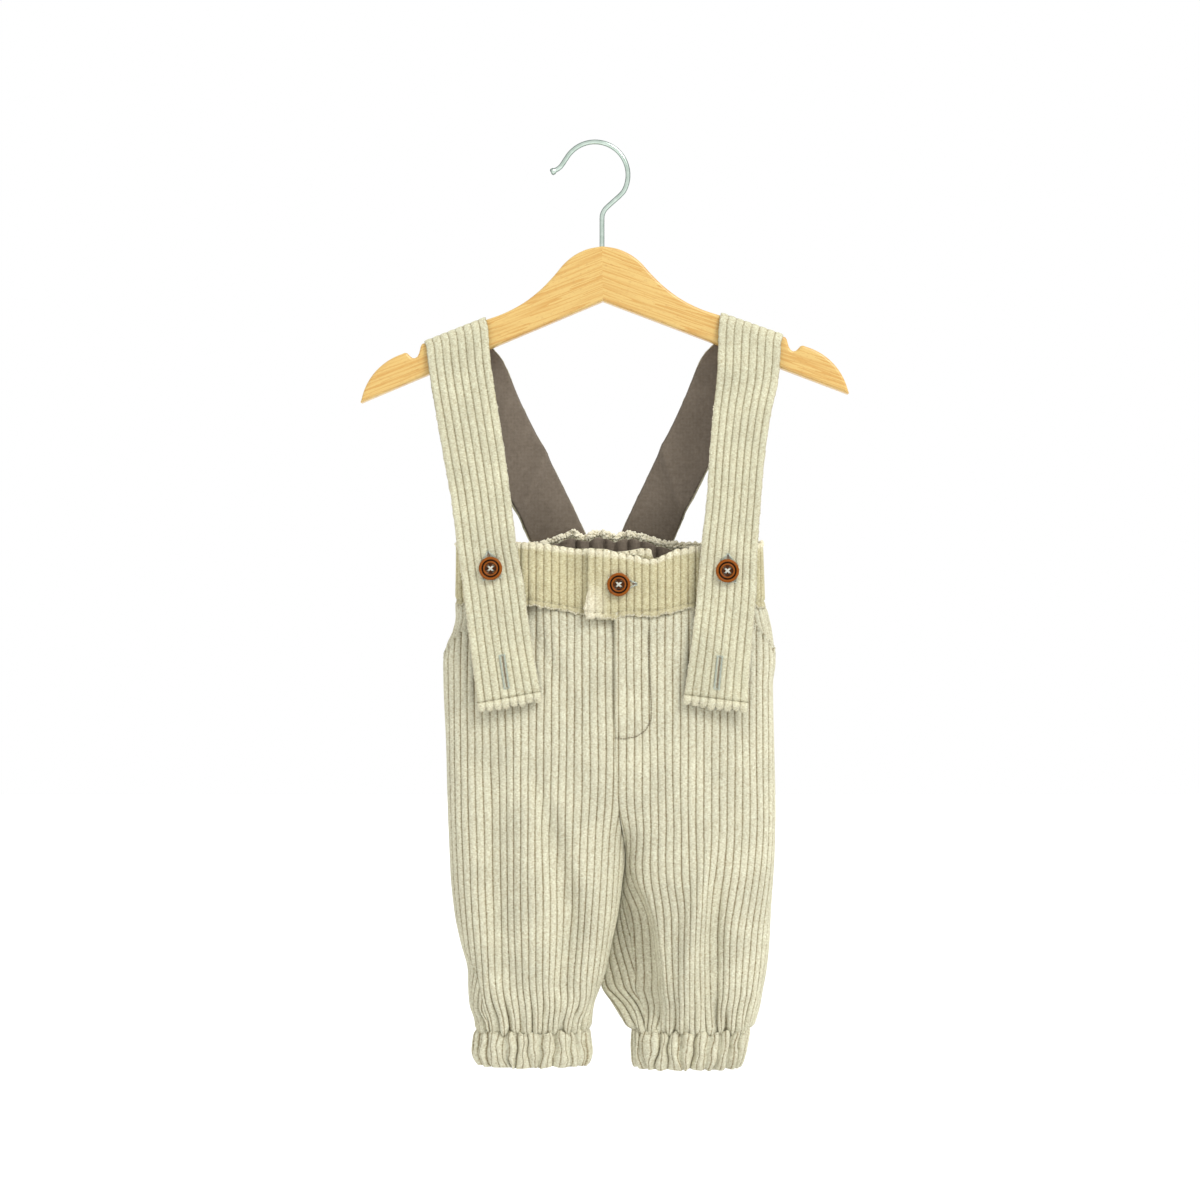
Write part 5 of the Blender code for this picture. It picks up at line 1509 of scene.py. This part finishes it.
# The spare and the worn buttonhole of each strap: its two ends, from the strap's own, and its place across.
STRAP_HOLES = {
    "left": ((11.4, 31.8, -0.3), (81.3, 98.8, 0.2)),
    "right": ((11.5, 31.6, -0.25), (80.0, 97.5, -0.5)),
}
HOLE_REACHES = (3.2, 4.4)  # how far to each side the stitching of each reaches


def hole_fall(side, at, across):
    """How far the close stitching of the two buttonholes presses the pile flat round them."""
    fall = 0
    for reach, (start, end, place) in zip(HOLE_REACHES, STRAP_HOLES[side]):
        beside = ease((reach - np.abs(across - place)) / 0.9)
        fall = fall + 0.85 * beside * ease((at - start + 2) / 1.8) * ease((end + 2 - at) / 1.8)
    return fall


def strap_layer(side, base, thickness, places, pile, share_wide=1.0):
    """Outer and inner rows of one layer of a strap, whose inner face lies at base from the lining's."""
    stations = strap_stations(side)
    outer = new_layer()
    inner = new_layer()
    for layer in (outer, inner):
        wales = places if layer is outer or not pile else places[::4]
        if wales[-1] != places[-1]:
            wales = np.append(wales, places[-1])
        share = wales / STRAP_WALES
        edge = (0.5 - np.abs(share)) * STRAP_WIDTH
        for k, at in enumerate(stations["at"]):
            reach = np.zeros(len(wales))
            if pile and at < 8:
                # The wales end unevenly where the cloth is cut.
                ends = 2.1 * tips(wales + 40.5) - 1.6 + 0.4 * fray(wales * 3.3 + 60 * SIDES[side])
                reach = -1.1 * ends * bump(at, 2.2)
            closing = thickness / 2 * np.maximum(edge_fall(edge), roll_of(at, stations["length"]))
            if layer is outer:
                height = base + thickness - closing
                if pile:
                    stitch = 1.25 * bump(at - STRAP_STITCH, 0.75) - 0.8 * bump(at - 2.4, 1.7)
                    flat = hole_fall(side, at, share * STRAP_WIDTH)
                    wale = wale_height(wales + 0.5) * (1 - edge_fall(edge)) * (1 - flat)
                    height = height + wale - stitch - flat
            else:
                height = base + closing
            height = height * stations["squeeze"][k] + strap_sag(side, at, stations["bend"], share)
            uneven = 1
            if pile:
                uneven = 1 + 0.012 * fray(at / 1.6 + 500) * (np.abs(share) > 0.46)
            points = (
                stations["middle"][k]
                + (share * share_wide * uneven)[:, None] * stations["width"][k]
                + np.broadcast_to(height, len(wales))[:, None] * stations["normal"][k]
                + reach[:, None] * stations["along"][k]
            )
            layer["points"].append(points)
            layer["places"].append(np.column_stack((wales + 0.5, np.full(len(wales), at / WALE), 0 * wales)))
    return outer, inner


def strap_point(side, at, across, height):
    """A point over a strap's face, from its distance along from the front end and across from the middle."""
    stations = strap_stations(side)
    middle, width, normal = [
        read_along(stations["at"], stations[key], [at])[0] for key in ("middle", "width", "normal")
    ]
    share = across / np.linalg.norm(width)
    height = height + LINING + GAP + WALL + strap_sag(side, at, stations["bend"], share)
    return middle + share * width + height * normal


def strap_stitches(side):
    """A line across the front end, and a box where the back end is sewn to the waistband."""
    length = strap_stations(side)["length"]
    first = [strap_point(side, STRAP_STITCH, across, -1.0) for across in np.linspace(-19.4, 19.4, 30)]
    box = [(length - 3, -14), (length - 3, 14), (length - 13, 14), (length - 13, -14), (length - 3, -14)]
    box = along(np.array(box, float), np.linspace(0, 76, 50))
    return [first], [[strap_point(side, at, across, -0.15) for at, across in box]]


STRAP_PLACES = np.concatenate((
    -STRAP_WALES / 2 + np.array(EDGE_PLACES),
    [w for w in places_of(STRAP_WALES // 2 + 1, WALE_PLACES) + 0.5 if abs(w) < STRAP_WALES / 2 - 0.3],
    (STRAP_WALES / 2 - np.array(EDGE_PLACES))[::-1],
))
# The straps' grooves carry less painted shade than the panels'.
STRAP_CORDUROY = corduroy(
    "brushed_cotton_corduroy_strap", "#C9C7AE", "#AFA78B", "#857A60", 0.75, "#D3D1BA", 0.9
)
LINING_PLACES = np.linspace(-STRAP_WALES / 2, STRAP_WALES / 2, 25)
for each_side in SIDES:
    rows = strap_layer(each_side, LINING + GAP, WALL, STRAP_PLACES, True)
    raw_edges = [rows[0]["points"][k] for k in (1, 3, 5)]
    front_rows = rows[0]["points"][4:118]
    nap_lines = [[row[column] for row in front_rows] for column in (2, -3)]
    made = cloth(f"strap_{each_side}_cloth", *rows, STRAP_CORDUROY)
    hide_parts(f"strap_{each_side}")
    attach(made, "root")
    end_line, box_lines = strap_stitches(each_side)
    grown(f"strap_{each_side}_end_stitches", end_line, STITCH_TREE, STITCH)
    # The box's stitches are drawn as dark pits of painted shade.
    grown(f"strap_{each_side}_box_stitches", box_lines, STITCH_TREE, SHADED_PITS)
    grown(f"strap_{each_side}_tufts", raw_edges, TUFT_TREE, {**TUFTS, "Pitch": 0.8 * MM})
    grown(f"strap_{each_side}_nap", nap_lines, TUFT_TREE, {**TUFTS, "Pitch": 0.9 * MM, "Scatter": 0.3 * MM})
    rows = strap_layer(each_side, 0.0, LINING, LINING_PLACES, False, 0.97)
    made = cloth(f"strap_lining_{each_side}_cloth", *rows, COTTON)
    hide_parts(f"strap_lining_{each_side}")
    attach(made, "root")


# Buttons
#
# Three turned wooden buttons, stained and waxed, with a raised rim, a ring groove and four holes. Each is
# sewn on with a cross of pale cotton thread.

BUTTONS = {
    "left": (-71.4, -26.6, -275.4),
    "right": (80.3, -26.6, -276.9),
    "waist": (10.7, -24.7, -285.7),
}
# From the middle of the face out over the rim and back along the underside.
BUTTON_PROFILE = (
    (0, 1.9), (2.9, 1.95), (3.5, 2.15), (3.9, 2.55), (4.3, 2.7), (4.7, 2.5), (5.0, 2.05), (5.35, 2.0),
    (5.7, 2.5), (6.1, 2.95), (6.6, 3.0), (7.1, 2.75), (7.45, 2.2), (7.5, 1.5), (7.2, 0.7), (6.6, 0.15),
    (5.8, 0), (0, 0),
)
BUTTON_SIDES = 72
HOLE_RADIUS = 0.95
HOLE_OFFSET = 1.65
THREAD_REACH = 1.25       # the thread goes down at the inner side of each hole


def stained_wood():
    """Turned beech stained chestnut: streaked grain, darker in the turned grooves, with a soft wax gloss."""
    material, tree = new_material(
        "stained_turned_beech", Roughness=0.46, IOR=1.5, Specular_IOR_Level=0.14, Coat_Weight=0.03,
        Coat_Roughness=0.2,
    )
    place = add_node(tree, "ShaderNodeTexCoord").outputs["Object"]
    # Streaks of grain are about 5 mm long and 1 mm wide.
    stretch = add_node(tree, "ShaderNodeMapping", Vector=place, Scale=(220.0, 900.0, 1500.0))
    grain = add_node(tree, "ShaderNodeTexNoise", Vector=stretch, Scale=1.0, Detail=4.0, Roughness=0.65)
    # The turned grooves are darker and the rims paler, by the surface's pointiness.
    shape = add_node(tree, "ShaderNodeNewGeometry")
    tone = add_node(
        tree, "ShaderNodeMapRange", Value=shape.outputs["Pointiness"], From_Min=0.46, From_Max=0.54,
        To_Min=-0.6, To_Max=0.38,
    )
    mixed = add_node(tree, "ShaderNodeMath", {"operation": "ADD"}, _0=grain, _1=tone)
    colour = add_node(
        tree, "ShaderNodeMix", {"data_type": "RGBA", "clamp_factor": True}, _0=mixed,
        _6=linear("#0C0400"), _7=linear("#8C4A08"),
    )
    return end_material(material, colour.outputs[2], grain, 0.25, 0.0002)


def thread_tree():
    """Geometry nodes: a round thread along a path."""
    inputs = {"Path": "Geometry", "Thread radius": "Float", "Finish": "Material"}
    tree, given = new_tree("thread_along_path", inputs, "Thread")
    line = add_node(tree, "GeometryNodeMeshToCurve", Mesh=given.outputs["Path"])
    ring = add_node(
        tree, "GeometryNodeCurvePrimitiveCircle", Resolution=6, Radius=given.outputs["Thread radius"]
    )
    tube = add_node(tree, "GeometryNodeCurveToMesh", Curve=line, Profile_Curve=ring, Fill_Caps=True)
    return end_tree(tree, given, tube)


def turned_button(name, place):
    """The button's profile turned round, with four holes through it, facing the front."""
    mesh = bpy.data.meshes.new(name)
    profile = [(radius * MM, 0, height * MM) for radius, height in BUTTON_PROFILE]
    mesh.from_pydata(profile, [(k, k + 1) for k in range(len(profile) - 1)], [])
    made = in_scene(name, mesh)
    lathe = made.modifiers.new("lathe", "SCREW")
    lathe.steps = lathe.render_steps = BUTTON_SIDES
    lathe.use_merge_vertices = True
    lathe.merge_threshold = MERGE * MM
    drill = bmesh.new()
    for x in (-1, 1):
        for y in (-1, 1):
            shift = Matrix.Translation((x * HOLE_OFFSET * MM, y * HOLE_OFFSET * MM, 0))
            bmesh.ops.create_cone(
                drill, cap_ends=True, segments=20, radius1=HOLE_RADIUS * MM, radius2=HOLE_RADIUS * MM,
                depth=10 * MM, matrix=shift,
            )
    bits = bpy.data.meshes.new("drill")
    drill.to_mesh(bits)
    drill.free()
    tool = in_scene("drill", bits)
    holes = made.modifiers.new("holes", "BOOLEAN")
    holes.operation = "DIFFERENCE"
    holes.object = tool
    result = plain_mesh(made)
    made.modifiers.clear()
    bpy.data.objects.remove(tool, do_unlink=True)
    result.transform(Matrix.Translation(Vector(place) * MM) @ Matrix.Rotation(math.radians(90), 4, "X"))
    made.data = result
    result.shade_smooth()
    result.set_sharp_from_angle(angle=math.radians(50))
    return made


def thread_cross(x, y, z):
    """A cross of doubled thread, up out of each hole, over the middle and down into the opposite one."""
    strands = []
    for way in (-1, 1):
        # One way of the cross lies over the other.
        over = ((-THREAD_REACH, 1.0), (-THREAD_REACH, 2.1), (-0.8, 2.55), (0, 2.8 + 0.15 * way))
        over += tuple((-across, rise) for across, rise in over[2::-1])
        for shift in (-0.28, 0.28):
            strands.append([(x + across + shift, y - rise, z + way * across) for across, rise in over])
    return strands


STAINED = stained_wood()
THREAD = thread_finish("mercerised_cotton_thread", "#D6D6CA", "#9AA093")
THREAD_TREE = thread_tree()
for button_name, button_place in BUTTONS.items():
    made = turned_button(f"button_{button_name}_turned", button_place)
    made.data.materials.append(STAINED)
    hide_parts(f"button_{button_name}")
    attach(made, "root")
    sewn = {"Thread radius": 0.42 * MM, "Finish": THREAD}
    grown(f"button_{button_name}_thread", thread_cross(*button_place), THREAD_TREE, sewn)


# Buttonholes
#
# Five machine-made buttonholes: two close rows of zigzag in pale grey-green thread, with a bar across each
# end, round a slit cut through the cloth. Two are spare, at the ends of the straps.

HOLE_THREAD = thread_finish("grey_green_cotton_thread", "#D6DDD1", "#A2AC9E")
ZIGZAG = 1.0              # from one crossing to the next
HOLE_WIDTH = 2.1          # from the slit's middle to the outer edge of the stitching
HOLE_CORD = 1.45          # and to the cord under it
SLIT_WIDTH = 0.3          # and to the slit's own edge
# How wide a hole's far end is beside the rest of it, and how many times as wide as new it is spread.
NEW_HOLE = (1.0, 1.0)
WORN_HOLE = (0.12, 3.4)
WAIST_HOLE = (0.2, 2.2)
WAIST_HOLE_START = 4.2
WAIST_HOLE_LEVEL = -285.3
WAIST_HOLE_LENGTH = 17.5


def slit_mesh(name, where, length, wide):
    """A thin lens of cut pile between the two rows of stitching, just under the face."""
    around = []
    for angle in np.linspace(0, 2 * math.pi, 28, endpoint=False):
        at = length / 2 * (1 + math.cos(angle))
        across = SLIT_WIDTH * wide ** 1.07 * math.copysign(abs(math.sin(angle)) ** 0.6, math.sin(angle))
        around.append((at, across))
    lips = bmesh.new()
    top = [lips.verts.new(Vector(where(at, across, -0.05)) * MM) for at, across in around]
    foot = [lips.verts.new(Vector(where(at, across, -0.5)) * MM) for at, across in around]
    count = len(around)
    half = count // 2
    for k in range(count):
        lips.faces.new((top[k], top[(k + 1) % count], foot[(k + 1) % count], foot[k]))
    for a in range(half - 1):
        b = count - 1 - a
        lips.faces.new((top[a], top[(a + 1) % count], top[b - 1], top[b]))
        lips.faces.new((foot[a], foot[b], foot[b - 1], foot[(a + 1) % count]))
    lips.faces.new((top[half - 1], top[half], top[half + 1]))
    lips.faces.new((foot[half - 1], foot[half + 1], foot[half]))
    bmesh.ops.recalc_face_normals(lips, faces=lips.faces)
    mesh = bpy.data.meshes.new(name)
    lips.to_mesh(mesh)
    lips.free()
    return mesh


def buttonhole(name, where, length, end_share=1.0, wide=1.0):
    """The thread and the slit, on the surface that where gives from a place along, across and above it.

    A worn hole is spread wide by the button's shank and closes to a point at its far end.
    """
    def spread(at):
        return wide * (1 - (1 - end_share) * np.clip((at / length - 0.66) / 0.34, 0, 1))

    routes = []
    for side in (-1, 1):
        row = []
        for k, at in enumerate(np.arange(0, length, ZIGZAG / 2)):
            across = 0.85 if k % 2 else HOLE_WIDTH
            row.append(where(at, side * across * spread(at), 0.35 + 0.15 * (k % 2)))
        routes.append(row)
        # The zigzag is sewn over a cord that keeps the hole from stretching.
        cord = [where(at, side * HOLE_CORD * spread(at), 0.15) for at in np.linspace(0, length, 14)]
        routes.append(cord)
    for end in (-0.5, length + 0.3):
        reach = HOLE_WIDTH * (end_share * wide if end > 0 else 1)
        steps = np.linspace(-reach, reach, 10)
        routes.append([where(end + 0.55 * (-1) ** k, across, 0.2) for k, across in enumerate(steps)])
    grown(name, routes, THREAD_TREE, {"Thread radius": 0.3 * MM, "Finish": HOLE_THREAD})
    slit = in_scene(f"{name}_slit", slit_mesh(f"{name}_slit", where, length, wide))
    slit.data.materials.append(SLIT)
    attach(slit, "root")


# The cut edges of the pile and the shadow between them: dull purplish brown, with tufts 0.7 mm across.
SLIT = cotton_fibres("cut_pile_in_a_slit", "#9C8B79", "#54453A", 1500.0, 3.0, Roughness=1.0)


def on_strap(side, start, place):
    """Where a buttonhole lies on a strap."""
    return lambda at, across, height: strap_point(side, start + at, place + across, height - 0.7)


def on_flap(at, across, height):
    """Where the waist buttonhole lies, along the flap to the right."""
    x = WAIST_HOLE_START + at
    z = WAIST_HOLE_LEVEL + across
    curve = seat_curve("right", "front", z, FLAP_EDGE)
    order = np.argsort(curve[:, 0])
    y = np.interp(x, curve[order, 0], curve[order, 1])
    return np.array((x, y - FLAP_LIFT - height + 0.3, z))


for each_side in SIDES:
    for hole_name, shape, hole in zip(("spare", "worn"), (NEW_HOLE, WORN_HOLE), STRAP_HOLES[each_side]):
        start, end, place = hole
        name = f"buttonhole_{each_side}_{hole_name}"
        buttonhole(name, on_strap(each_side, start, place), end - start, *shape)
buttonhole("buttonhole_waist", on_flap, WAIST_HOLE_LENGTH, *WAIST_HOLE)


# Hanger
#
# Two arms of solid beech, shaped, sanded round at the edges, varnished and joined with a mitre in the middle.
# Each has a notch near its end for straps.

ARM_EDGE = 2.0            # the edges are rounded to this radius
# The notch near an arm's end that keeps a strap from slipping off.
STRAP_NOTCH = (
    (118.7, -62.6), (119.2, -64.6), (119.9, -67.2), (121.0, -69.3), (122.6, -70.4), (124.3, -70.2),
    (125.8, -69.0), (127.2, -67.4), (128.4, -66.2),
)
# The round of an arm beyond the notch, between two angles in degrees.
ARM_SHOULDER = {"centre": (119.4, -105.2), "radius": 39.4, "first": 73, "last": 13, "steps": 22}
ARM_TIP = (158.9, -99.1)
ARM_INNER_CORNER = (0, -35.6)


def beech(name, angle):
    """Clear-varnished beech: straw-coloured, with soft growth bands along the arm and short dark flecks."""
    material, tree = new_material(name, Roughness=0.38, IOR=1.5, Coat_Weight=0.2, Coat_Roughness=0.3)
    place = add_node(tree, "ShaderNodeTexCoord").outputs["Object"]
    turned = add_node(tree, "ShaderNodeMapping", Vector=place, Rotation=(0, angle, 0))
    # Growth bands are 2 to 5 mm apart and about 150 mm long.
    bands = add_node(tree, "ShaderNodeMapping", Vector=turned, Scale=(7.0, 60.0, 190.0))
    growth = add_node(tree, "ShaderNodeTexNoise", Vector=bands, Scale=1.0, Detail=3.0, Roughness=0.55)
    rings = add_node(tree, "ShaderNodeMath", {"operation": "MULTIPLY"}, _0=growth, _1=7.0)
    rings = add_node(tree, "ShaderNodeMath", {"operation": "FRACT"}, _0=rings)
    band = add_node(tree, "ShaderNodeMapRange", SMOOTH, Value=rings, From_Min=0.25, From_Max=1.0)
    # Flecks are about 3 mm long and 0.4 mm wide.
    dashes = add_node(tree, "ShaderNodeMapping", Vector=turned, Scale=(330.0, 1500.0, 2600.0))
    flecks = add_node(tree, "ShaderNodeTexNoise", Vector=dashes, Scale=1.0, Detail=2.0)
    fleck = add_node(
        tree, "ShaderNodeMapRange", Value=flecks, From_Min=0.58, From_Max=0.72, To_Min=0.0, To_Max=0.55
    )
    base = add_node(tree, "ShaderNodeMix", RGBA, _0=band, _6=linear("#D0AE66"), _7=linear("#C2944A"))
    final = add_node(tree, "ShaderNodeMix", RGBA, _0=fleck, _6=base.outputs[2], _7=linear("#A06D36"))
    return end_material(material, final.outputs[2], flecks, 0.12, 0.0002)


def arm_outline():
    """One arm's outline, from a little past the middle out to its tip and back along the lower edge."""
    reaches = np.linspace(0, 117.8, 60)
    upper = [(reach, look(ARM_UPPER, "height", reach, key="reach")) for reach in reaches]
    shoulder = []
    for angle in np.radians(np.linspace(ARM_SHOULDER["first"], ARM_SHOULDER["last"], ARM_SHOULDER["steps"])):
        reach = ARM_SHOULDER["centre"][0] + ARM_SHOULDER["radius"] * math.cos(angle)
        shoulder.append((reach, ARM_SHOULDER["centre"][1] + ARM_SHOULDER["radius"] * math.sin(angle)))
    return [(-6, -36.5), (-6, -0.7), *upper, *STRAP_NOTCH, *shoulder, ARM_TIP, ARM_INNER_CORNER]


def arm_mesh(side, sign):
    """A shaped arm with rounded edges, cut square at the mitre."""
    shape = bmesh.new()
    outline = [shape.verts.new((x * MM, -ARM_THICKNESS / 2 * MM, z * MM)) for x, z in arm_outline()]
    face = shape.faces.new(outline)
    pushed = bmesh.ops.extrude_face_region(shape, geom=[face])["geom"]
    moved = [item for item in pushed if isinstance(item, bmesh.types.BMVert)]
    bmesh.ops.translate(shape, verts=moved, vec=(0, ARM_THICKNESS * MM, 0))
    bmesh.ops.recalc_face_normals(shape, faces=shape.faces)
    blank = bpy.data.meshes.new("arm")
    shape.to_mesh(blank)
    shape.free()
    made = in_scene(f"hanger_{side}_arm", blank)
    rounding = made.modifiers.new("rounding", "BEVEL")
    rounding.width = ARM_EDGE * MM
    rounding.segments = 5
    rounding.limit_method = "ANGLE"
    rounding.angle_limit = math.radians(60)
    rounding.use_clamp_overlap = False
    result = plain_mesh(made)
    made.modifiers.clear()
    arm = bmesh.new()
    arm.from_mesh(result)
    cut = bmesh.ops.bisect_plane(
        arm, geom=arm.verts[:] + arm.edges[:] + arm.faces[:], plane_co=(0, 0, 0), plane_no=(-1, 0, 0),
        clear_outer=True,
    )
    rim = [item for item in cut["geom_cut"] if isinstance(item, bmesh.types.BMEdge)]
    bmesh.ops.holes_fill(arm, edges=rim, sides=0)
    bmesh.ops.scale(arm, vec=(sign, 1, 1), verts=arm.verts)
    bmesh.ops.rotate(arm, cent=(0, 0, 0), matrix=Matrix.Rotation(-HANGER_TILT, 3, "Y"), verts=arm.verts)
    bmesh.ops.translate(arm, vec=(0, 0, ARM_TOP * MM), verts=arm.verts)
    bmesh.ops.remove_doubles(arm, verts=arm.verts, dist=MERGE * MM)
    bmesh.ops.recalc_face_normals(arm, faces=arm.faces)
    arm.to_mesh(result)
    arm.free()
    made.data = result
    result.shade_smooth()
    result.set_sharp_from_angle(angle=math.radians(40))
    return made


for each_side, each_sign in SIDES.items():
    made = arm_mesh(each_side, each_sign)
    along_arm = math.radians(ARM_SLOPE * -each_sign) + HANGER_TILT
    made.data.materials.append(beech(f"varnished_beech_{each_side}", along_arm))
    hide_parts(f"hanger_{each_side}")
    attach(made, "root")


# Hook
#
# One piece of bright zinc-plated steel wire, bent to a hook, screwed into the mitre of the hanger, with a
# rounded end.

WIRE_RADIUS = 1.55
HOOK_CENTRE = (-4.6, -19.3)   # of the round part of the hook
HOOK_RADIUS = 21.5
HOOK_TURNS = (-30, 152, 4)    # degrees round that centre: from, to and step
# Up out of the wood and over to the round, and on from the round to the end.
HOOK_SHANK = (
    (0, ARM_TOP - 8), (0, -60), (0, -54), (0, -50), (0, -47.5), (0.1, -45.9), (0.5, -44.3), (1.2, -42.8),
    (2.1, -41.4), (3.6, -39.9), (5.9, -37.8), (8.6, -35.4), (11.2, -33.1), (13.2, -31.0),
)
HOOK_END = (
    (-23.6, -9.0), (-25.2, -11.6), (-26.8, -13.8), (-28.6, -15.3), (-30.4, -16.3), (-31.2, -16.7),
    (-32.6, -17.4), (-33.2, -17.7),
)
HOOK_BEAD = (1.0, 1.4, 1.45, 0.9)   # the last points are thicker, for the rounded end


def zinc():
    """Zinc plating on steel wire: bright, faint blue-green, a little uneven, with painted reflection
    darkening its sides.
    """
    material, tree = new_material("zinc_plated_steel_wire", Metallic=1.0, Roughness=0.24)
    place = add_node(tree, "ShaderNodeTexCoord").outputs["Object"]
    # The plating is uneven over about 2.5 mm.
    marks = add_node(tree, "ShaderNodeTexNoise", Vector=place, Scale=380.0, Detail=3.0)
    tint = add_node(tree, "ShaderNodeMix", RGBA, _0=marks, _6=linear("#A4B8AA"), _7=linear("#DDE9E1"))
    # Round the sides of the wire a painted reflection darkens the plating, standing in for the dark of the
    # room.
    rim = add_node(tree, "ShaderNodeLayerWeight", Blend=0.5)
    side = add_node(
        tree, "ShaderNodeMapRange", SMOOTH, Value=rim.outputs["Facing"],
        From_Min=0.14, From_Max=0.5,
    )
    with_painted_reflection = add_node(tree, "ShaderNodeMix", RGBA, _0=side, _6=tint.outputs[2], _7=linear("#4F6358"))
    return end_material(material, with_painted_reflection.outputs[2])


turns = np.radians(np.arange(*HOOK_TURNS))
bend = np.array(HOOK_CENTRE) + HOOK_RADIUS * np.column_stack((np.cos(turns), np.sin(turns)))
route = [(x, 0, z) for x, z in (*HOOK_SHANK, *bend, *HOOK_END)]
wire = bpy.data.curves.new("hanger_hook_wire", "CURVE")
wire.dimensions = "3D"
wire.bevel_depth = WIRE_RADIUS * MM
wire.bevel_resolution = 6
wire.use_fill_caps = True
line = wire.splines.new("POLY")
line.points.add(len(route) - 1)
for point, place in zip(line.points, route):
    point.co = (*(Vector(place) * MM), 1)
for point, share in zip(line.points[-len(HOOK_BEAD):], HOOK_BEAD):
    point.radius = share
bent = in_scene("hanger_hook_curve", wire)
hook_mesh = plain_mesh(bent)
bpy.data.objects.remove(bent, do_unlink=True)
hook_mesh.materials.append(zinc())
hook_mesh.shade_smooth()
hook_mesh.set_sharp_from_angle(angle=math.radians(50))
made = in_scene("hanger_hook_wire", hook_mesh)
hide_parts("hanger_hook")
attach(made, "root")


# Studio
#
# A plain white floor well below, a white surround and one large soft lamp high in front and to the right.

FLOOR_LEVEL = -1.25       # in metres, like its reach to each side
FLOOR_REACH = 12
corners = ((-1, -1), (1, -1), (1, 1), (-1, 1))
floor_corners = [(x * FLOOR_REACH, y * FLOOR_REACH, FLOOR_LEVEL) for x, y in corners]
floor_mesh = bpy.data.meshes.new("studio_floor")
floor_mesh.from_pydata(floor_corners, [], [(0, 1, 2, 3)])
floor = in_scene("studio_floor", floor_mesh)
paint, paint_tree = new_material("matt_white_paint", Roughness=0.9)
speckle = add_node(paint_tree, "ShaderNodeTexNoise", Scale=2.0, Detail=2.0)
tone = add_node(
    paint_tree, "ShaderNodeMix", RGBA, _0=speckle, _6=linear("#F6F6F6"), _7=linear("#FAFAFA")
)
end_material(paint, tone.outputs[2])
floor_mesh.materials.append(paint)

world = bpy.data.worlds.new("white_surround")
world.use_nodes = True
world.node_tree.nodes["Background"].inputs["Color"].default_value = (1, 1, 1, 1)
world.node_tree.nodes["Background"].inputs["Strength"].default_value = 1.0
bpy.context.scene.world = world

lamp = bpy.data.lights.new("soft_lamp", "SUN")
lamp.energy = 1.9
lamp.angle = math.radians(24)
lamp_object = bpy.data.objects.new("soft_lamp", lamp)
lamp_object.rotation_euler = (math.radians(48), 0, math.radians(42))
bpy.context.scene.collection.objects.link(lamp_object)

camera = bpy.data.cameras.new("camera")
camera.lens = 85
camera.sensor_width = 36
camera_object = bpy.data.objects.new("camera", camera)
camera_object.location = (-0.0013, -1.842, -0.2956)
camera_object.rotation_euler = (math.radians(90), 0, 0)
bpy.context.scene.collection.objects.link(camera_object)
bpy.context.scene.camera = camera_object
bpy.context.scene.view_settings.view_transform = "Standard"
